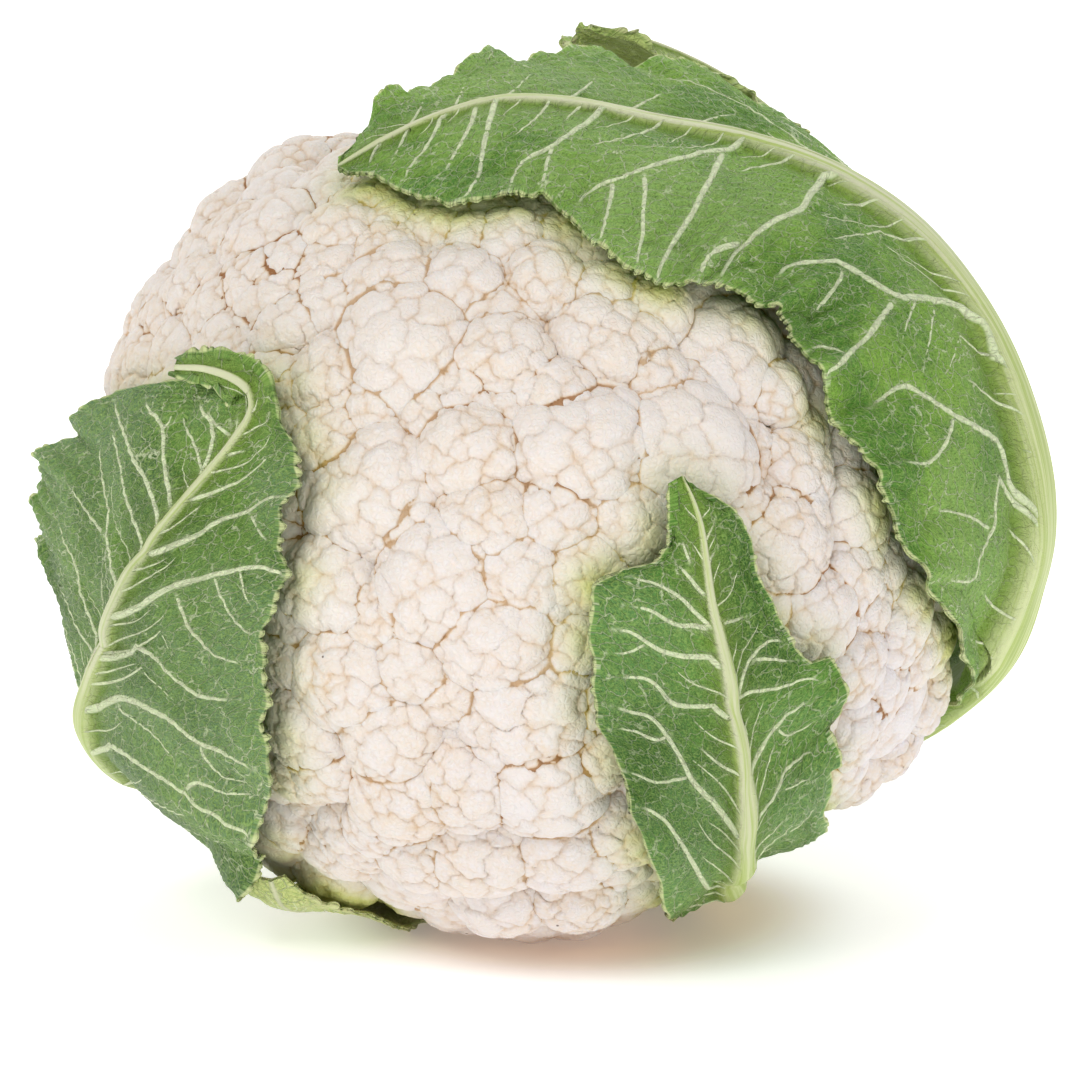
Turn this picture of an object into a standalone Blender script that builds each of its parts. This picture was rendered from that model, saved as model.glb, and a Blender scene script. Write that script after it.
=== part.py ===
"""A cauliflower head lying on its side: the floreted curd, its cut stalk and the leaves that wrap it.

Places on the head are given on its face, in millimetres: right and up from the middle of the curd and
out towards the viewer, as they are seen from SIGHT_DISTANCE in front of it and FACE_TILT above it.
"""
import math
import random

import bmesh
import bpy
import numpy as np

MM = 0.001
SMOOTH_ANGLE = math.radians(40)

# The head as a whole
FACE_TILT = math.radians(12)
SIGHT_DISTANCE = 1100.0
CURD_RADIUS = 86.0
HEAD_MIDDLE = (-1.89, -2.76, 79.3)
HEAD_AXIS = (-0.19, 0.50, 0.845)

# How far the curd bulges past its radius: direction on the face, height and sharpness
BULGES = [
    ((-0.72, 0.69, 0.10), 9.0, 5),
    ((0.93, -0.33, 0.10), 8.0, 9),
    ((-0.30, 0.30, 0.90), 3.0, 2),
    ((0.60, -0.80, -0.05), -8.0, 8),
    ((-0.34, -0.94, -0.05), -4.5, 12),
    ((0.02, -0.98, -0.20), 3.5, 16),
]

# The underside narrows to the stalk between these angles from the top of the curd
RIM_ANGLE = math.radians(112)
NECK_ANGLE = math.radians(158)
NECK_RADIUS = 55.0
BRANCHES = 9
BRANCH_DEPTH = 4.0

# The stalk, and the stubs of trimmed leaves round its end: (angle, reach, level where it is cut)
STALK_TOP = 50.0
STALK_RADIUS = 17.0
STALK_SWELL = 0.025
STALK_LOBES = 5
STALK_SIDES = 40
STALK_LEVELS = (50.35, 62.0, 76.0, 82.0, 86.0, 89.0, 89.5, 92.0, 92.5, 95.0, 95.5, 102.0, 103.0)
END_ROUNDING = 1.0
STUB_START = 78.0
STUB_FULL = 89.0
STUB_HALF_ANGLE = math.radians(19)
STUBS = (
    (20, 6.5, 92.2), (72, 7.5, 89.2), (140, 6.0, 92.2),
    (205, 7.0, 89.2), (273, 9.5, 95.2), (328, 7.0, 92.2),
)

# The florets that show, as clusters: (right, up, radius, lift) of each dome
CLUSTERS = {
    "crown_left": [
        (-80, 52, 8.4, 0), (-66, 52, 7.2, 0), (-77, 37, 8.4, 0), (-62, 41, 7.6, 0),
        (-50, 45, 6.3, 0), (-50, 32, 5.1, -1), (-69, 62, 6.3, 0),
    ],
    "top_left_edge": [
        (-64, 70, 7.6, 1), (-51, 79, 8.8, 2), (-40, 78, 6.7, 1), (-52, 63, 8.8, 1), (-39, 64, 6.7, 1),
    ],
    "crown": [
        (-29, 55, 8.0, 1), (-27, 43, 11.8, 3), (-41, 35, 7.2, 1), (-33, 30, 5.5, 0), (-21, 29, 5.1, -1),
    ],
    "top": [
        (-28, 67, 4.2, 0), (-20, 66, 4.6, 0), (-15, 55, 8.0, 1), (-12, 65, 5.1, 0), (-4, 65, 6.3, 1),
        (-5, 40, 7.4, 2), (-6, 30, 5.9, -1),
    ],
    "top_right": [
        (4, 56, 6.7, 2), (16, 53, 6.3, 2), (18, 44, 9.7, 2), (27, 50, 5.9, 2), (27, 36, 5.9, 1),
        (6, 32, 6.3, 1),
    ],
    "right_top": [
        (44, 42, 10.9, 2), (53, 33, 5.5, 2), (36, 33, 4.6, 0), (48, 21, 6.3, -2), (60, 25, 5.5, -1),
    ],
    "middle": [
        (-12, 20, 8.0, 2), (12, 20, 11.4, 4), (34, 21, 11.8, 4), (21, 5, 7.6, 2), (7, 7, 7.2, 2),
        (-8, 5, 7.2, 2), (-19, -7, 10.1, 3), (-2, -6, 7.6, 2), (13, -6, 7.2, 2), (4, -14, 4.6, 0),
    ],
    "left_middle": [
        (-34, 12, 10.9, 2), (-42, 22, 5.9, 1), (-26, 5, 5.5, 0), (-42, 5, 5.1, -3),
    ],
    "left_low": [
        (-43, -9, 8.0, 2), (-32, -15, 6.7, 0), (-39, -29, 9.3, 3), (-25, -26, 5.9, 1),
        (-51, -24, 5.5, 0), (-48, -40, 7.6, 2), (-30, -41, 8.4, 3), (-44, -48, 6.3, 1),
    ],
    "middle_low": [
        (-6, -20, 9.3, 3), (10, -22, 6.7, 1), (1, -36, 11.8, 3), (16, -33, 6.3, 1), (-16, -37, 6.3, -3),
    ],
    "bottom": [
        (-27, -54, 9.7, 3), (-13, -52, 7.6, 3), (4, -52, 9.7, 4), (16, -46, 5.9, 1), (8, -67, 8.8, 3),
        (-10, -68, 9.7, 3), (20, -63, 7.6, 2), (-6, -79, 8.0, 3), (11, -78, 8.0, 3), (-23, -68, 7.6, 2),
        (-33, -62, 5.1, 1),
    ],
    "right_middle": [
        (59, 15, 7.2, 1), (56, 1, 9.7, 2), (71, 6, 8.0, 2), (70, -7, 7.6, 1),
    ],
    "right_low": [
        (63, -15, 8.8, 2), (79, -16, 7.6, 1), (70, -26, 7.2, 1), (81, -31, 7.2, 1), (70, -39, 7.2, 1),
        (80, -43, 6.3, 0), (68, -50, 6.3, 0),
    ],
    "low_left_hollow": [
        (-50, -56, 5.5, -3), (-44, -64, 6.3, -4), (-37, -71, 5.1, -5),
    ],
}

# Florets that don't show: placed by a rule, seeded
HIDDEN_SEED = 7
HIDDEN_TRIES = 900
HIDDEN_RADII = (7.0, 10.5)
HIDDEN_LIFT = -1.0
HIDDEN_CROWDING = 0.86
HIDDEN_BELOW_RIM = math.radians(9)

# The relief of a floret, in parts of its radius
DOME_REACH = 1.20
DOME_DEPTH = 0.75
BUMPS_AROUND = 6
BUMP_TURN = 0.7
BUMP_RING = 0.62
BUMP_RADIUS = 0.34
BUMP_HEIGHT = 0.13
GROOVE_FLOOR = 6.0

# Florets this close to the floor are pressed flat on it
PRESSED = 3.0
SHALLOWEST_FALL = 0.05
OUT_OF_REACH = 1e6

# Spacing of the points that the curd's surface is drawn through
CANDIDATES = 40000
UNDER_RIM = math.radians(11)
TOP_CLEARANCE = 0.8
GROOVE_MARGIN = 0.5
VALLEY_HEIGHT = 0.1
TOP_SPACING = 2.4
GROOVE_SPACING = 3.6
VALLEY_SPACING = 3.3
UPPER_SPACING = 5.5
UNDERSIDE_SPACING = 9.0

# The leaves' feet on the stalk, their thickness and how close they lie
FOOT_LEVEL = 69.0
FOOT_GAP = 1.8
FOOT_SPREAD = 2.2
FOOT_LENGTH = 80.0
FOOT_SHARE = 0.8
BLADE_THICKNESS = 1.0
RIB_TAPER = 0.78
RIB_WIDEST = 0.5
LEAST_ANGLE = 1e-4
LEAF_GAP = 1.6
LEAF_REST = 6.0
FLOOR_GAP = 0.4
COVER_SLOPE = 0.3
COVER_FLOOR = -3.0
FREE_STALK = 8.0
LAID_AFTER = 25.0
WAVES_AFTER = 60.0

# The leaves' rows from foot to tip: midrib, right edge and left edge, each (right, up, out).
# An out of None lays that point on the curd.
LEAF_RIGHT = [
    ((68, -38, -42), (62, -48, -40), (72, -25, -50)),
    ((94, -25, -15), (88, -32, -4), (84, -10, -53)),
    ((103, -6, -2), (82, -8, None), (82, 8, -59)),
    ((105, 11, 5), (74, 11, None), (78, 27, -59)),
    ((101, 30, 8), (65, 27, None), (71, 47, -55)),
    ((93, 48, 9), (57, 41, None), (62, 66, -46)),
    ((80, 65, 12), (50, 49, None), (55, 83, -29)),
    ((63, 77, 18), (37, 54, None), (42, 96, -14)),
    ((45, 84, 22), (24, 55, None), (26, 102, -8)),
    ((27, 88, 25), (12, 65, None), (10, 103, -5)),
    ((10, 92, 28), (2, 73, None), (-4, 103, 0)),
    ((-5, 93, 32), (-10, 71, None), (-15, 100, 8)),
    ((-18, 90, 35), (-22, 72, None), (-25, 96, 18)),
    ((-30, 85, 40), (-33, 75, None), (-33, 91, 30)),
    ((-40, 79.5, 46), (-39, 77.5, 48), (-39.5, 81.5, 44)),
]
LEAF_LEFT = [
    ((-66, -44, -46), (-56, -55, -40), (-68, -34, -56)),
    ((-83, -45, -15), (-56, -68, 10), (-80, -26, -48)),
    ((-91, -38, 2), (-56, -62, None), (-90, -13, -42)),
    ((-90, -29, 14), (-54, -46, None), (-98, -4, -28)),
    ((-86, -19, 28), (-55, -31, None), (-101, 4, -16)),
    ((-80, -10, 40), (-55, -17, None), (-103, 11, -4)),
    ((-73, -1, 50), (-50, -5, None), (-102, 18, 6)),
    ((-66, 7, 58), (-49, 6, None), (-97, 24, 18)),
    ((-60, 15, 64), (-46, 14, None), (-88, 30, 32)),
    ((-56, 22, 68), (-46, 20, None), (-76, 33, 48)),
    ((-55, 28, 70), (-50, 26, None), (-64, 32, 60)),
    ((-60, 34, 72), (-56, 38, 71), (-62, 30, 70)),
    ((-67, 37, 70), (-65, 41, 69), (-68, 33.5, 68)),
    ((-74, 37.5, 67), (-73.5, 40, 66.5), (-74, 35.5, 66)),
]
LEAF_FRONT = [
    ((32, -62, -36), (42, -54, -38), (22, -66, -34)),
    ((40, -69, 0), (54, -56, -6), (28, -72, 4)),
    ((42, -68.5, 24), (62, -53, 16), (28, -72.5, 26)),
    ((42.5, -60, 44), (65, -45, None), (24, -61, None)),
    ((42, -48, 55), (65, -34, None), (19, -46, None)),
    ((40.5, -35, 66), (61, -24, None), (14, -33, None)),
    ((38.5, -23, 73), (56, -17, None), (13.5, -22, None)),
    ((36.5, -12, 78), (52, -8, None), (16, -10, None)),
    ((35, -3, 81), (47, 0, None), (23, -3.5, None)),
    ((33.5, 5, 83), (42, 7, None), (28, 4, None)),
    ((30, 13.5, 84), (32, 12.5, None), (28.5, 12.5, None)),
]
LEAF_BACK = [
    ((30, -8, -74), (41, -14, -70), (18, -3, -78)),
    ((42, 14, -88), (58, 4, -78), (18, 18, -92)),
    ((54, 42, -80), (72, 34, -66), (14, 46, -90)),
    ((60, 66, -62), (70, 62, -54), (10, 73, -76)),
    ((56, 83, -42), (60, 82, -36), (10, 90, -56)),
    ((44, 95.5, -27), (48, 93, -22), (8, 99, -43)),
    ((29, 104, -21), (33, 101, -18), (8, 105, -32)),
    ((13, 109, -18), (15, 108, -17), (11, 108.5, -19)),
]
LEAF_INNER = [
    ((-16, -66, -30), (-9, -68, -28), (-24, -62, -32)),
    ((-32, -72, 0), (-24, -75, 4), (-41, -66, -2)),
    ((-42, -68, 14), (-34, -73, 18), (-50, -62, 12)),
    ((-49, -64, 25), (-48, -65, 27), (-51, -62, 24)),
]

# Each leaf: its rows, rows and columns of faces, rib width and height at the foot, edge wave
# (height, length) in millimetres, and its place in the layers round the curd
LEAVES = {
    "leaf_right": (LEAF_RIGHT, 44, 6, (13.0, 6.0), (2.2, 26.0), 1.0),
    "leaf_left": (LEAF_LEFT, 36, 5, (9.0, 5.0), (1.8, 20.0), 2.4),
    "leaf_front": (LEAF_FRONT, 30, 5, (7.0, 4.0), (1.2, 18.0), 1.0),
    "leaf_back": (LEAF_BACK, 20, 4, (10.0, 4.0), (2.0, 24.0), 2.0),
    "leaf_inner": (LEAF_INNER, 10, 3, (6.0, 2.5), (0.6, 14.0), 0.0),
}


def unit(vectors):
    """Vectors at length one, along their last axis."""
    vectors = np.asarray(vectors, dtype=float)
    return vectors / np.linalg.norm(vectors, axis=-1, keepdims=True)


AXIS = unit(HEAD_AXIS)
SIDE = unit(np.cross(AXIS, (0.0, 1.0, 0.0)))
OVER = np.cross(SIDE, AXIS)
ASKEW = unit((0.31, 0.55, 0.77))


def seen_at(right, up, out):
    """The point at depth out on the sight line through a place on the face."""
    nearer = 1.0 - out / SIGHT_DISTANCE
    return np.array((right * nearer, up * nearer, out))


def seen_on_ball(right, up, radius):
    """The near point, at a radius from the middle, on the sight line through a place on the face."""
    eye = np.array((0.0, 0.0, SIGHT_DISTANCE))
    line = unit(np.array((right, up, 0.0)) - eye)
    along = -eye.dot(line)
    nearest = along ** 2 - SIGHT_DISTANCE ** 2 + radius ** 2
    point = eye + line * (along - math.sqrt(max(nearest, 0.0)))
    return point * (radius / np.linalg.norm(point))


def to_world(points):
    """Face millimetres to world metres."""
    points = np.asarray(points, dtype=float)
    sine = math.sin(FACE_TILT)
    cosine = math.cos(FACE_TILT)
    across = points[..., 0]
    depth = points[..., 1] * sine - points[..., 2] * cosine
    height = points[..., 1] * cosine + points[..., 2] * sine
    return (np.stack((across, depth, height), axis=-1) + HEAD_MIDDLE) * MM


def floor_radius(directions):
    """How far each direction runs from the middle before it meets the floor."""
    falling = -(to_world(directions) - to_world(np.zeros(3)))[..., 2] / MM
    reach = HEAD_MIDDLE[2] / np.maximum(falling, SHALLOWEST_FALL)
    return np.where(falling > SHALLOWEST_FALL, reach, OUT_OF_REACH)


def smooth_step(value):
    """A ramp from 0 to 1 with soft ends."""
    value = np.clip(value, 0.0, 1.0)
    return value * value * (3.0 - 2.0 * value)


def base_radius(directions):
    """The curd without its florets: a ball with bulges, whose underside narrows to the stalk."""
    radius = np.full(directions.shape[:-1], CURD_RADIUS)
    for direction, height, sharpness in BULGES:
        toward = np.clip(directions @ unit(direction), 0.0, 1.0)
        radius = radius + height * toward ** sharpness
    polar = np.arccos(np.clip(directions @ AXIS, -1.0, 1.0))
    under = smooth_step((polar - RIM_ANGLE) / (NECK_ANGLE - RIM_ANGLE))
    around = np.arctan2(directions @ OVER, directions @ SIDE)
    ribs = BRANCH_DEPTH * np.sin(BRANCHES * around) * under * (1.0 - under) * 4.0
    return radius + (NECK_RADIUS - radius) * under + ribs


def floret_list():
    """Every floret: unit direction, radius and lift, the ones that show and the ones that don't."""
    directions = []
    sizes = []
    for domes in CLUSTERS.values():
        for right, up, radius, lift in domes:
            directions.append(unit(seen_on_ball(right, up, CURD_RADIUS)))
            sizes.append((radius, lift))
    rng = random.Random(HIDDEN_SEED)
    for _ in range(HIDDEN_TRIES):
        height = rng.uniform(-1.0, 1.0)
        turn = rng.uniform(0.0, 2.0 * math.pi)
        flat = math.sqrt(1.0 - height * height)
        direction = np.array((flat * math.cos(turn), flat * math.sin(turn), height))
        radius = rng.uniform(*HIDDEN_RADII)
        if direction @ AXIS < math.cos(RIM_ANGLE + HIDDEN_BELOW_RIM):
            continue
        apart = np.arccos(np.clip(np.array(directions) @ direction, -1.0, 1.0)) * CURD_RADIUS
        reach = np.array([size[0] for size in sizes]) + radius
        if np.all(apart > HIDDEN_CROWDING * reach):
            directions.append(direction)
            sizes.append((radius, HIDDEN_LIFT))
    return np.array(directions), np.array(sizes)


def bump_directions(direction, radius, turn):
    """The small bumps of a floret: one at its middle and a ring round it."""
    side = unit(np.cross(direction, ASKEW))
    over = np.cross(direction, side)
    places = [direction]
    for step in range(BUMPS_AROUND):
        angle = turn + 2.0 * math.pi * step / BUMPS_AROUND
        lean = BUMP_RING * radius / CURD_RADIUS
        places.append(unit(direction + lean * (math.cos(angle) * side + math.sin(angle) * over)))
    return np.array(places)


def floret_relief(directions, florets, sizes):
    """The height of the florets' domes over each direction, whose it is, and how clear of the next."""
    apart = np.arccos(np.clip(directions @ florets.T, -1.0, 1.0)) * CURD_RADIUS
    share = np.clip(apart / (sizes[:, 0] * DOME_REACH), 0.0, 1.0)
    domes = sizes[:, 1] + DOME_DEPTH * sizes[:, 0] * (np.sqrt(1.0 - share ** 2) - 1.0)
    domes = np.where(share < 1.0, domes, -2.0 * GROOVE_FLOOR)
    owner = np.argmax(domes, axis=1)
    two_highest = np.partition(domes, -2, axis=1)[:, -2:]
    relief = np.maximum(two_highest[:, 1], -GROOVE_FLOOR)
    return relief, owner, relief - two_highest[:, 0]


def bump_relief(directions, owner, sizes, bumps):
    """The height of the small bumps on the floret that owns each direction."""
    relief = np.zeros(len(directions))
    for floret, places in enumerate(bumps):
        mine = np.nonzero(owner == floret)[0]
        if mine.size == 0:
            continue
        size = sizes[floret, 0]
        near = np.arccos(np.clip(directions[mine] @ places.T, -1.0, 1.0)) * CURD_RADIUS
        part = np.clip(near / (BUMP_RADIUS * size), 0.0, 1.0)
        relief[mine] = BUMP_HEIGHT * size * np.max(1.0 - part ** 2, axis=1)
    return relief


def curd_radius(directions, florets, sizes, bumps):
    """The curd's surface over each direction: flat under the stalk's top and where it meets the floor."""
    relief, owner = floret_relief(directions, florets, sizes)[:2]
    radius = base_radius(directions) + relief + bump_relief(directions, owner, sizes, bumps)
    behind = directions @ -AXIS
    seated = math.cos(math.pi - NECK_ANGLE)
    radius = np.where(behind > seated, STALK_TOP / np.maximum(behind, seated), radius)
    floor = floor_radius(directions)
    return np.where(radius > floor - PRESSED, floor, radius)


def ball_points(count):
    """Points spread evenly over a ball, on a golden spiral."""
    steps = np.arange(count) + 0.5
    height = 1.0 - 2.0 * steps / count
    turn = steps * math.pi * (1.0 + math.sqrt(5.0))
    flat = np.sqrt(1.0 - height ** 2)
    return np.stack((flat * np.cos(turn), flat * np.sin(turn), height), axis=-1)


def thin_out(points, kept, spacing):
    """The points kept, and those that stay at least a spacing from them and from each other."""
    limit = math.cos(spacing / CURD_RADIUS)
    room = np.zeros((len(kept) + len(points), 3))
    count = len(kept)
    if count:
        room[:count] = kept
    for point in points:
        if count == 0 or np.max(room[:count] @ point) < limit:
            room[count] = point
            count += 1
    return room[:count]


def curd_mesh():
    """The curd: a closed surface over points on a ball, at florets' bumps and in their grooves."""
    florets, sizes = floret_list()
    bumps = []
    for index in range(len(florets)):
        bumps.append(bump_directions(florets[index], sizes[index, 0], BUMP_TURN * index))
    tops = []
    for floret, places in enumerate(bumps):
        owner, clear = floret_relief(places, florets, sizes)[1:]
        tops.extend(places[(owner == floret) & (clear > TOP_CLEARANCE)])
    candidates = ball_points(CANDIDATES)
    upper = candidates[candidates @ AXIS > math.cos(RIM_ANGLE + UNDER_RIM)]
    owner, clear = floret_relief(upper, florets, sizes)[1:]
    low = bump_relief(upper, owner, sizes, bumps) < VALLEY_HEIGHT
    points = thin_out(tops, [], TOP_SPACING)
    points = thin_out(upper[clear < GROOVE_MARGIN], points, GROOVE_SPACING)
    points = thin_out(upper[low & (upper[:, 2] > 0.0)], points, VALLEY_SPACING)
    points = thin_out(upper, points, UPPER_SPACING)
    points = thin_out(candidates, points, UNDERSIDE_SPACING)
    radius = curd_radius(points, florets, sizes, bumps)
    mesh = bmesh.new()
    for point in points:
        mesh.verts.new(point)
    bmesh.ops.convex_hull(mesh, input=mesh.verts)
    for vert, place in zip(mesh.verts, to_world(points * radius[:, None])):
        vert.co = place
    bmesh.ops.recalc_face_normals(mesh, faces=mesh.faces)
    return mesh


def curve_through(points, places):
    """A smooth curve through the points, read at places counted from the first point."""
    points = np.asarray(points, dtype=float)
    first = 2.0 * points[0] - points[1]
    last = 2.0 * points[-1] - points[-2]
    padded = np.vstack((first, points, last))
    start = np.clip(np.floor(places).astype(int), 0, len(points) - 2)
    part = (places - start)[:, None]
    before, here, there, after = (padded[start + step] for step in range(4))
    return 0.5 * (
        2.0 * here
        + (there - before) * part
        + (2.0 * before - 5.0 * here + 4.0 * there - after) * part ** 2
        + (3.0 * here - before - 3.0 * there + after) * part ** 3
    )


def foot_of(row, half_width):
    """The foot of a leaf on the stalk's side, facing its first row: midrib, right and left edge."""
    middle = seen_at(*row[0])
    toward = unit(middle - AXIS * (middle @ AXIS))
    beside = np.cross(toward, AXIS)
    centre = -AXIS * FOOT_LEVEL + toward * (STALK_RADIUS + FOOT_GAP)
    spread = (seen_at(*row[1]) - seen_at(*row[2])) @ beside
    beside = beside * math.copysign(half_width, spread)
    return centre, centre + beside, centre - beside


def leaf_rows(rows, half_width):
    """The midrib, the right edge and the left edge of a leaf as points, foot first."""
    tracks = [[place] for place in foot_of(rows[0], half_width)]
    for row in rows:
        for track, (right, up, out) in zip(tracks, row):
            if out is None:
                track.append(seen_on_ball(right, up, CURD_RADIUS + LEAF_REST))
            else:
                track.append(seen_at(right, up, out))
    return [np.array(track) for track in tracks]


def cover_radius(directions, florets, sizes):
    """The height over which a leaf lies: the curd with its grooves bridged."""
    apart = np.arccos(np.clip(directions @ florets.T, -1.0, 1.0)) * CURD_RADIUS
    beyond = np.maximum(apart - sizes[:, 0], 0.0)
    tops = np.max(sizes[:, 1] + BUMP_HEIGHT * sizes[:, 0] - COVER_SLOPE * beyond, axis=1)
    return base_radius(directions) + np.maximum(tops, COVER_FLOOR)


def leaf_points(rows, row_count, column_count, rib, wave, layer, florets, sizes):
    """The middle surface of a leaf as a grid of points, with half its thickness and its rib's height."""
    midrib, right, left = leaf_rows(rows, 0.5 * rib[0] + FOOT_SPREAD)
    places = np.linspace(0.0, len(midrib) - 1.0, row_count + 1)
    middle = curve_through(midrib, places)
    along = np.concatenate(([0.0], np.cumsum(np.linalg.norm(np.diff(middle, axis=0), axis=1))))
    taper = 1.0 - RIB_TAPER * along / along[-1]
    thick = BLADE_THICKNESS + FOOT_SHARE * rib[1] * (1.0 - smooth_step(along / FOOT_LENGTH))
    half = 0.5 * thick
    grid = []
    ridge = []
    sides = ((left, -1.0, range(column_count, -1, -1)), (right, 1.0, range(column_count + 1)))
    for edge, sign, columns in sides:
        outer = curve_through(edge, places)
        span = np.linalg.norm(outer - middle, axis=1)
        inner = np.minimum(0.5 * rib[0] * taper / span, RIB_WIDEST)
        for column in columns:
            part = inner + (1.0 - inner) * column / column_count
            grid.append(blade_line(middle, outer, part, along, sign, wave))
            ridge.append(np.zeros(row_count + 1))
        if sign < 0.0:
            grid.append(middle.copy())
            ridge.append(rib[1] * taper)
    points = np.stack(grid, axis=1)
    ridge = np.stack(ridge, axis=1)
    directions = unit(points)
    lowest = cover_radius(directions.reshape(-1, 3), florets, sizes).reshape(points.shape[:2])
    lowest = lowest + LEAF_GAP + layer + half[:, None]
    highest = floor_radius(directions) - half[:, None] - ridge - FLOOR_GAP
    radius = np.linalg.norm(points, axis=2)
    lift = np.maximum(lowest - radius, 0.0) * smooth_step((along - FREE_STALK) / LAID_AFTER)[:, None]
    radius = np.minimum(radius + lift, highest)
    return directions * radius[..., None], half, ridge


def blade_line(middle, outer, part, along, sign, wave):
    """One line of the blade between midrib and edge, swung round the curd's middle and waved."""
    inner_radius = np.linalg.norm(middle, axis=1)
    outer_radius = np.linalg.norm(outer, axis=1)
    start = middle / inner_radius[:, None]
    stop = outer / outer_radius[:, None]
    angle = np.arccos(np.clip(np.sum(start * stop, axis=1), -1.0, 1.0))
    angle = np.maximum(angle, LEAST_ANGLE)
    swung = (np.sin((1.0 - part) * angle) / np.sin(angle))[:, None] * start
    swung = swung + (np.sin(part * angle) / np.sin(angle))[:, None] * stop
    radius = inner_radius + (outer_radius - inner_radius) * part
    fade = smooth_step(along / WAVES_AFTER) * part ** 3
    phase = 2.0 * math.pi * along / wave[1] + sign
    return unit(swung) * (radius + wave[0] * fade * np.sin(phase))[:, None]


def grid_normals(points):
    """The outward normal at each point of a grid."""
    along = np.gradient(points, axis=0)
    across = np.gradient(points, axis=1)
    normals = unit(np.cross(along, across))
    outward = np.sign(np.sum(normals * points, axis=2, keepdims=True))
    return normals * np.where(outward == 0.0, 1.0, outward)


def leaf_mesh(points, half, ridge):
    """A closed blade over a grid of points, split into triangles alike on both faces."""
    normals = grid_normals(points)
    outer = points + normals * (half[:, None] + ridge)[..., None]
    inner = points - normals * half[:, None, None]
    mesh = bmesh.new()
    rows, columns = points.shape[:2]
    faces = []
    for layer in (outer, inner):
        placed = to_world(layer)
        faces.append([[mesh.verts.new(place) for place in line] for line in placed])
    top, bottom = faces
    for row in range(rows - 1):
        for column in range(columns - 1):
            ring = ((row, column), (row + 1, column), (row + 1, column + 1), (row, column + 1))
            corners = ring if (row + column) % 2 else ring[1:] + ring[:1]
            for pick in ((0, 1, 2), (0, 2, 3)):
                places = [corners[index] for index in pick]
                mesh.faces.new([top[down][over] for down, over in places])
                mesh.faces.new([bottom[down][over] for down, over in reversed(places)])
    border = [(0, column) for column in range(columns)]
    border += [(row, columns - 1) for row in range(1, rows)]
    border += [(rows - 1, column) for column in range(columns - 2, -1, -1)]
    border += [(row, 0) for row in range(rows - 2, 0, -1)]
    upper = [top[down][over] for down, over in border]
    lower = [bottom[down][over] for down, over in border]
    for step in range(len(border)):
        after = (step + 1) % len(border)
        mesh.faces.new((upper[step], upper[after], lower[after]))
        mesh.faces.new((upper[step], lower[after], lower[step]))
    bmesh.ops.recalc_face_normals(mesh, faces=mesh.faces)
    return mesh


def stalk_reach(level, angle):
    """The stalk's radius at a level below the curd's middle and an angle round it."""
    reach = STALK_RADIUS * (1.0 + STALK_SWELL * math.cos(STALK_LOBES * angle))
    grown = float(smooth_step((level - STUB_START) / (STUB_FULL - STUB_START)))
    for place, height, cut in STUBS:
        away = math.remainder(angle - math.radians(place), 2.0 * math.pi)
        if level < cut:
            reach += height * grown * math.exp(-((away / STUB_HALF_ANGLE) ** 4))
    if level == STALK_LEVELS[-1]:
        reach -= END_ROUNDING
    return reach


def stalk_mesh():
    """The stalk: a round bar with a cut end, and the stubs of the trimmed leaves round it."""
    mesh = bmesh.new()
    loops = []
    for level in STALK_LEVELS:
        loop = []
        for step in range(STALK_SIDES):
            angle = 2.0 * math.pi * step / STALK_SIDES
            spoke = math.cos(angle) * SIDE + math.sin(angle) * OVER
            place = to_world(-AXIS * level + spoke * stalk_reach(level, angle))
            place[2] = max(place[2], 0.0)
            loop.append(mesh.verts.new(place))
        loops.append(loop)
    for lower, upper in zip(loops, loops[1:]):
        for step in range(STALK_SIDES):
            after = (step + 1) % STALK_SIDES
            mesh.faces.new((lower[step], lower[after], upper[after], upper[step]))
    mesh.faces.new(list(reversed(loops[0])))
    mesh.faces.new(loops[-1])
    bmesh.ops.recalc_face_normals(mesh, faces=mesh.faces)
    return mesh


def material(name, colour, roughness):
    """A plain finish: base colour and roughness, not metallic."""
    made = bpy.data.materials.new(name)
    made.use_nodes = True
    shader = made.node_tree.nodes["Principled BSDF"]
    shader.inputs["Base Color"].default_value = (*colour, 1.0)
    shader.inputs["Roughness"].default_value = roughness
    shader.inputs["Metallic"].default_value = 0.0
    made.diffuse_color = (*colour, 1.0)
    return made


def add_object(name, mesh, finish):
    """A named object of one mesh and one finish, shaded smooth but for its sharp edges."""
    data = bpy.data.meshes.new(name)
    mesh.to_mesh(data)
    mesh.free()
    data.materials.append(finish)
    data.shade_smooth()
    data.set_sharp_from_angle(angle=SMOOTH_ANGLE)
    placed = bpy.data.objects.new(name, data)
    bpy.context.scene.collection.objects.link(placed)


def main():
    for old in list(bpy.data.objects):
        bpy.data.objects.remove(old, do_unlink=True)
    cream = material("curd", (0.86, 0.80, 0.68), 0.55)
    pale = material("stalk", (0.70, 0.75, 0.52), 0.5)
    green = material("leaf", (0.22, 0.38, 0.16), 0.5)
    young = material("leaf_pale", (0.55, 0.66, 0.32), 0.5)
    add_object("curd", curd_mesh(), cream)
    add_object("stalk", stalk_mesh(), pale)
    florets, sizes = floret_list()
    for name, (rows, row_count, column_count, rib, wave, layer) in LEAVES.items():
        shape = leaf_points(rows, row_count, column_count, rib, wave, layer, florets, sizes)
        add_object(name, leaf_mesh(*shape), young if name == "leaf_inner" else green)


main()
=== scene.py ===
"""The looks of a cauliflower head lying on its side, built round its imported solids.

Shapes are worked out as in the solids, in millimetres on the head's face: right and up from the middle
of the curd and out towards the viewer, seen from SIGHT_DISTANCE in front of it and FACE_TILT above it.
"""
import math
import random

import bpy
import numpy as np
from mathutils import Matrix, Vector, noise
from mathutils.kdtree import KDTree


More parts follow.
